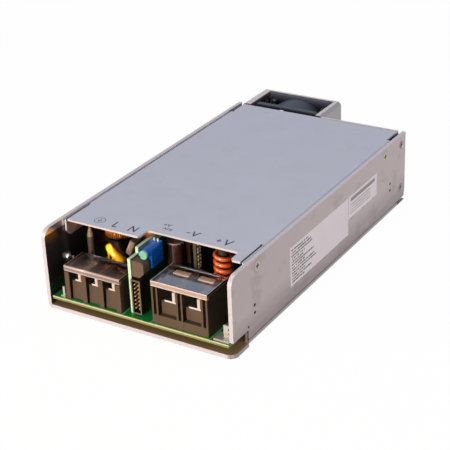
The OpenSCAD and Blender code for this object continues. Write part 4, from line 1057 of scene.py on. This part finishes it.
def letter(name, body, x0, x1, y0, y1):
    """Text made a mesh and fitted between x0 and x1 and between y0 and y1."""
    bpy.ops.object.select_all(action="DESELECT")
    bpy.ops.object.text_add()
    mark = bpy.context.active_object
    mark.data.body = body
    mark.data.offset = STROKE
    bpy.ops.object.convert(target="MESH")
    points = [v.co for v in mark.data.vertices]
    low = Vector((min(p.x for p in points), min(p.y for p in points), 0))
    high = Vector((max(p.x for p in points), max(p.y for p in points), 0))
    mark.scale = ((x1 - x0) * MM / (high.x - low.x), (y1 - y0) * MM / (high.y - low.y), 1)
    mark.location = at(x0, y0, INK_LOW) - Vector((low.x * mark.scale.x, low.y * mark.scale.y, 0))
    bpy.ops.object.transform_apply(location=True, rotation=True, scale=True)
    return raise_ink(mark, name)


marks = [
    letter("mark_l", "L", -23.9, -21.3, 18.0, 23.2),
    letter("mark_n", "N", -14.9, -11.0, 17.7, 23.0),
    letter("mark_output_upper", "+V", -3.0, 1.0, 29.4, 31.8),
    letter("mark_output_lower", "ADJ", -1.4, 3.4, 26.0, 28.2),
    letter("mark_minus", "-", 10.6, 12.4, 28.2, 28.8),
    letter("mark_minus_v", "V", 13.0, 17.3, 26.2, 30.8),
    letter("mark_plus", "+", 26.8, 29.2, 26.6, 29.4),
    letter("mark_plus_v", "V", 30.5, 34.8, 25.2, 30.5),
]
print("letters:", len(marks))

# %% [markdown]
# The earth sign isn't in the font, so it is drawn: a disc is inset and its middle deleted, which leaves a
# ring, and one upright bar and three shorter and shorter level ones are joined to it.

# %% Earth sign
EARTH_X, EARTH_Y, EARTH_R = -32.1, 20.8, 2.8
EARTH_SIDES = 48
EARTH_LINE = 0.3
STEM_UP, STEM_LENGTH = 1.0, 1.7
BAR_UP, BAR_STEP = 0.1, 0.65
BAR_LENGTH, BAR_LESS = 2.6, 0.8


def bar(y, width, height):
    """A flat strip of ink in the middle of the sign, y above its centre."""
    bpy.ops.mesh.primitive_plane_add(size=MM, location=at(EARTH_X, EARTH_Y + y, INK_LOW))
    strip = bpy.context.active_object
    strip.scale = (width, height, 1)
    bpy.ops.object.transform_apply(location=True, rotation=True, scale=True)
    return strip


bpy.ops.object.select_all(action="DESELECT")
bpy.ops.mesh.primitive_circle_add(
    vertices=EARTH_SIDES, radius=EARTH_R * MM, fill_type="NGON", location=at(EARTH_X, EARTH_Y, INK_LOW))
sign = bpy.context.active_object
bpy.ops.object.transform_apply(location=True, rotation=True, scale=True)
bpy.ops.object.mode_set(mode="EDIT")
bpy.ops.mesh.select_all(action="SELECT")
bpy.ops.mesh.inset(thickness=EARTH_LINE * MM)
bpy.ops.mesh.delete(type="FACE")
bpy.ops.object.mode_set(mode="OBJECT")
strips = [bar(STEM_UP, EARTH_LINE, STEM_LENGTH)]
strips += [bar(BAR_UP - BAR_STEP * i, BAR_LENGTH - BAR_LESS * i, EARTH_LINE) for i in range(3)]
bpy.ops.object.select_all(action="DESELECT")
for strip in strips:
    strip.select_set(True)
sign.select_set(True)
bpy.context.view_layer.objects.active = sign
bpy.ops.object.join()
raise_ink(sign, "mark_earth")
print("earth sign:", len(sign.data.polygons), "faces")
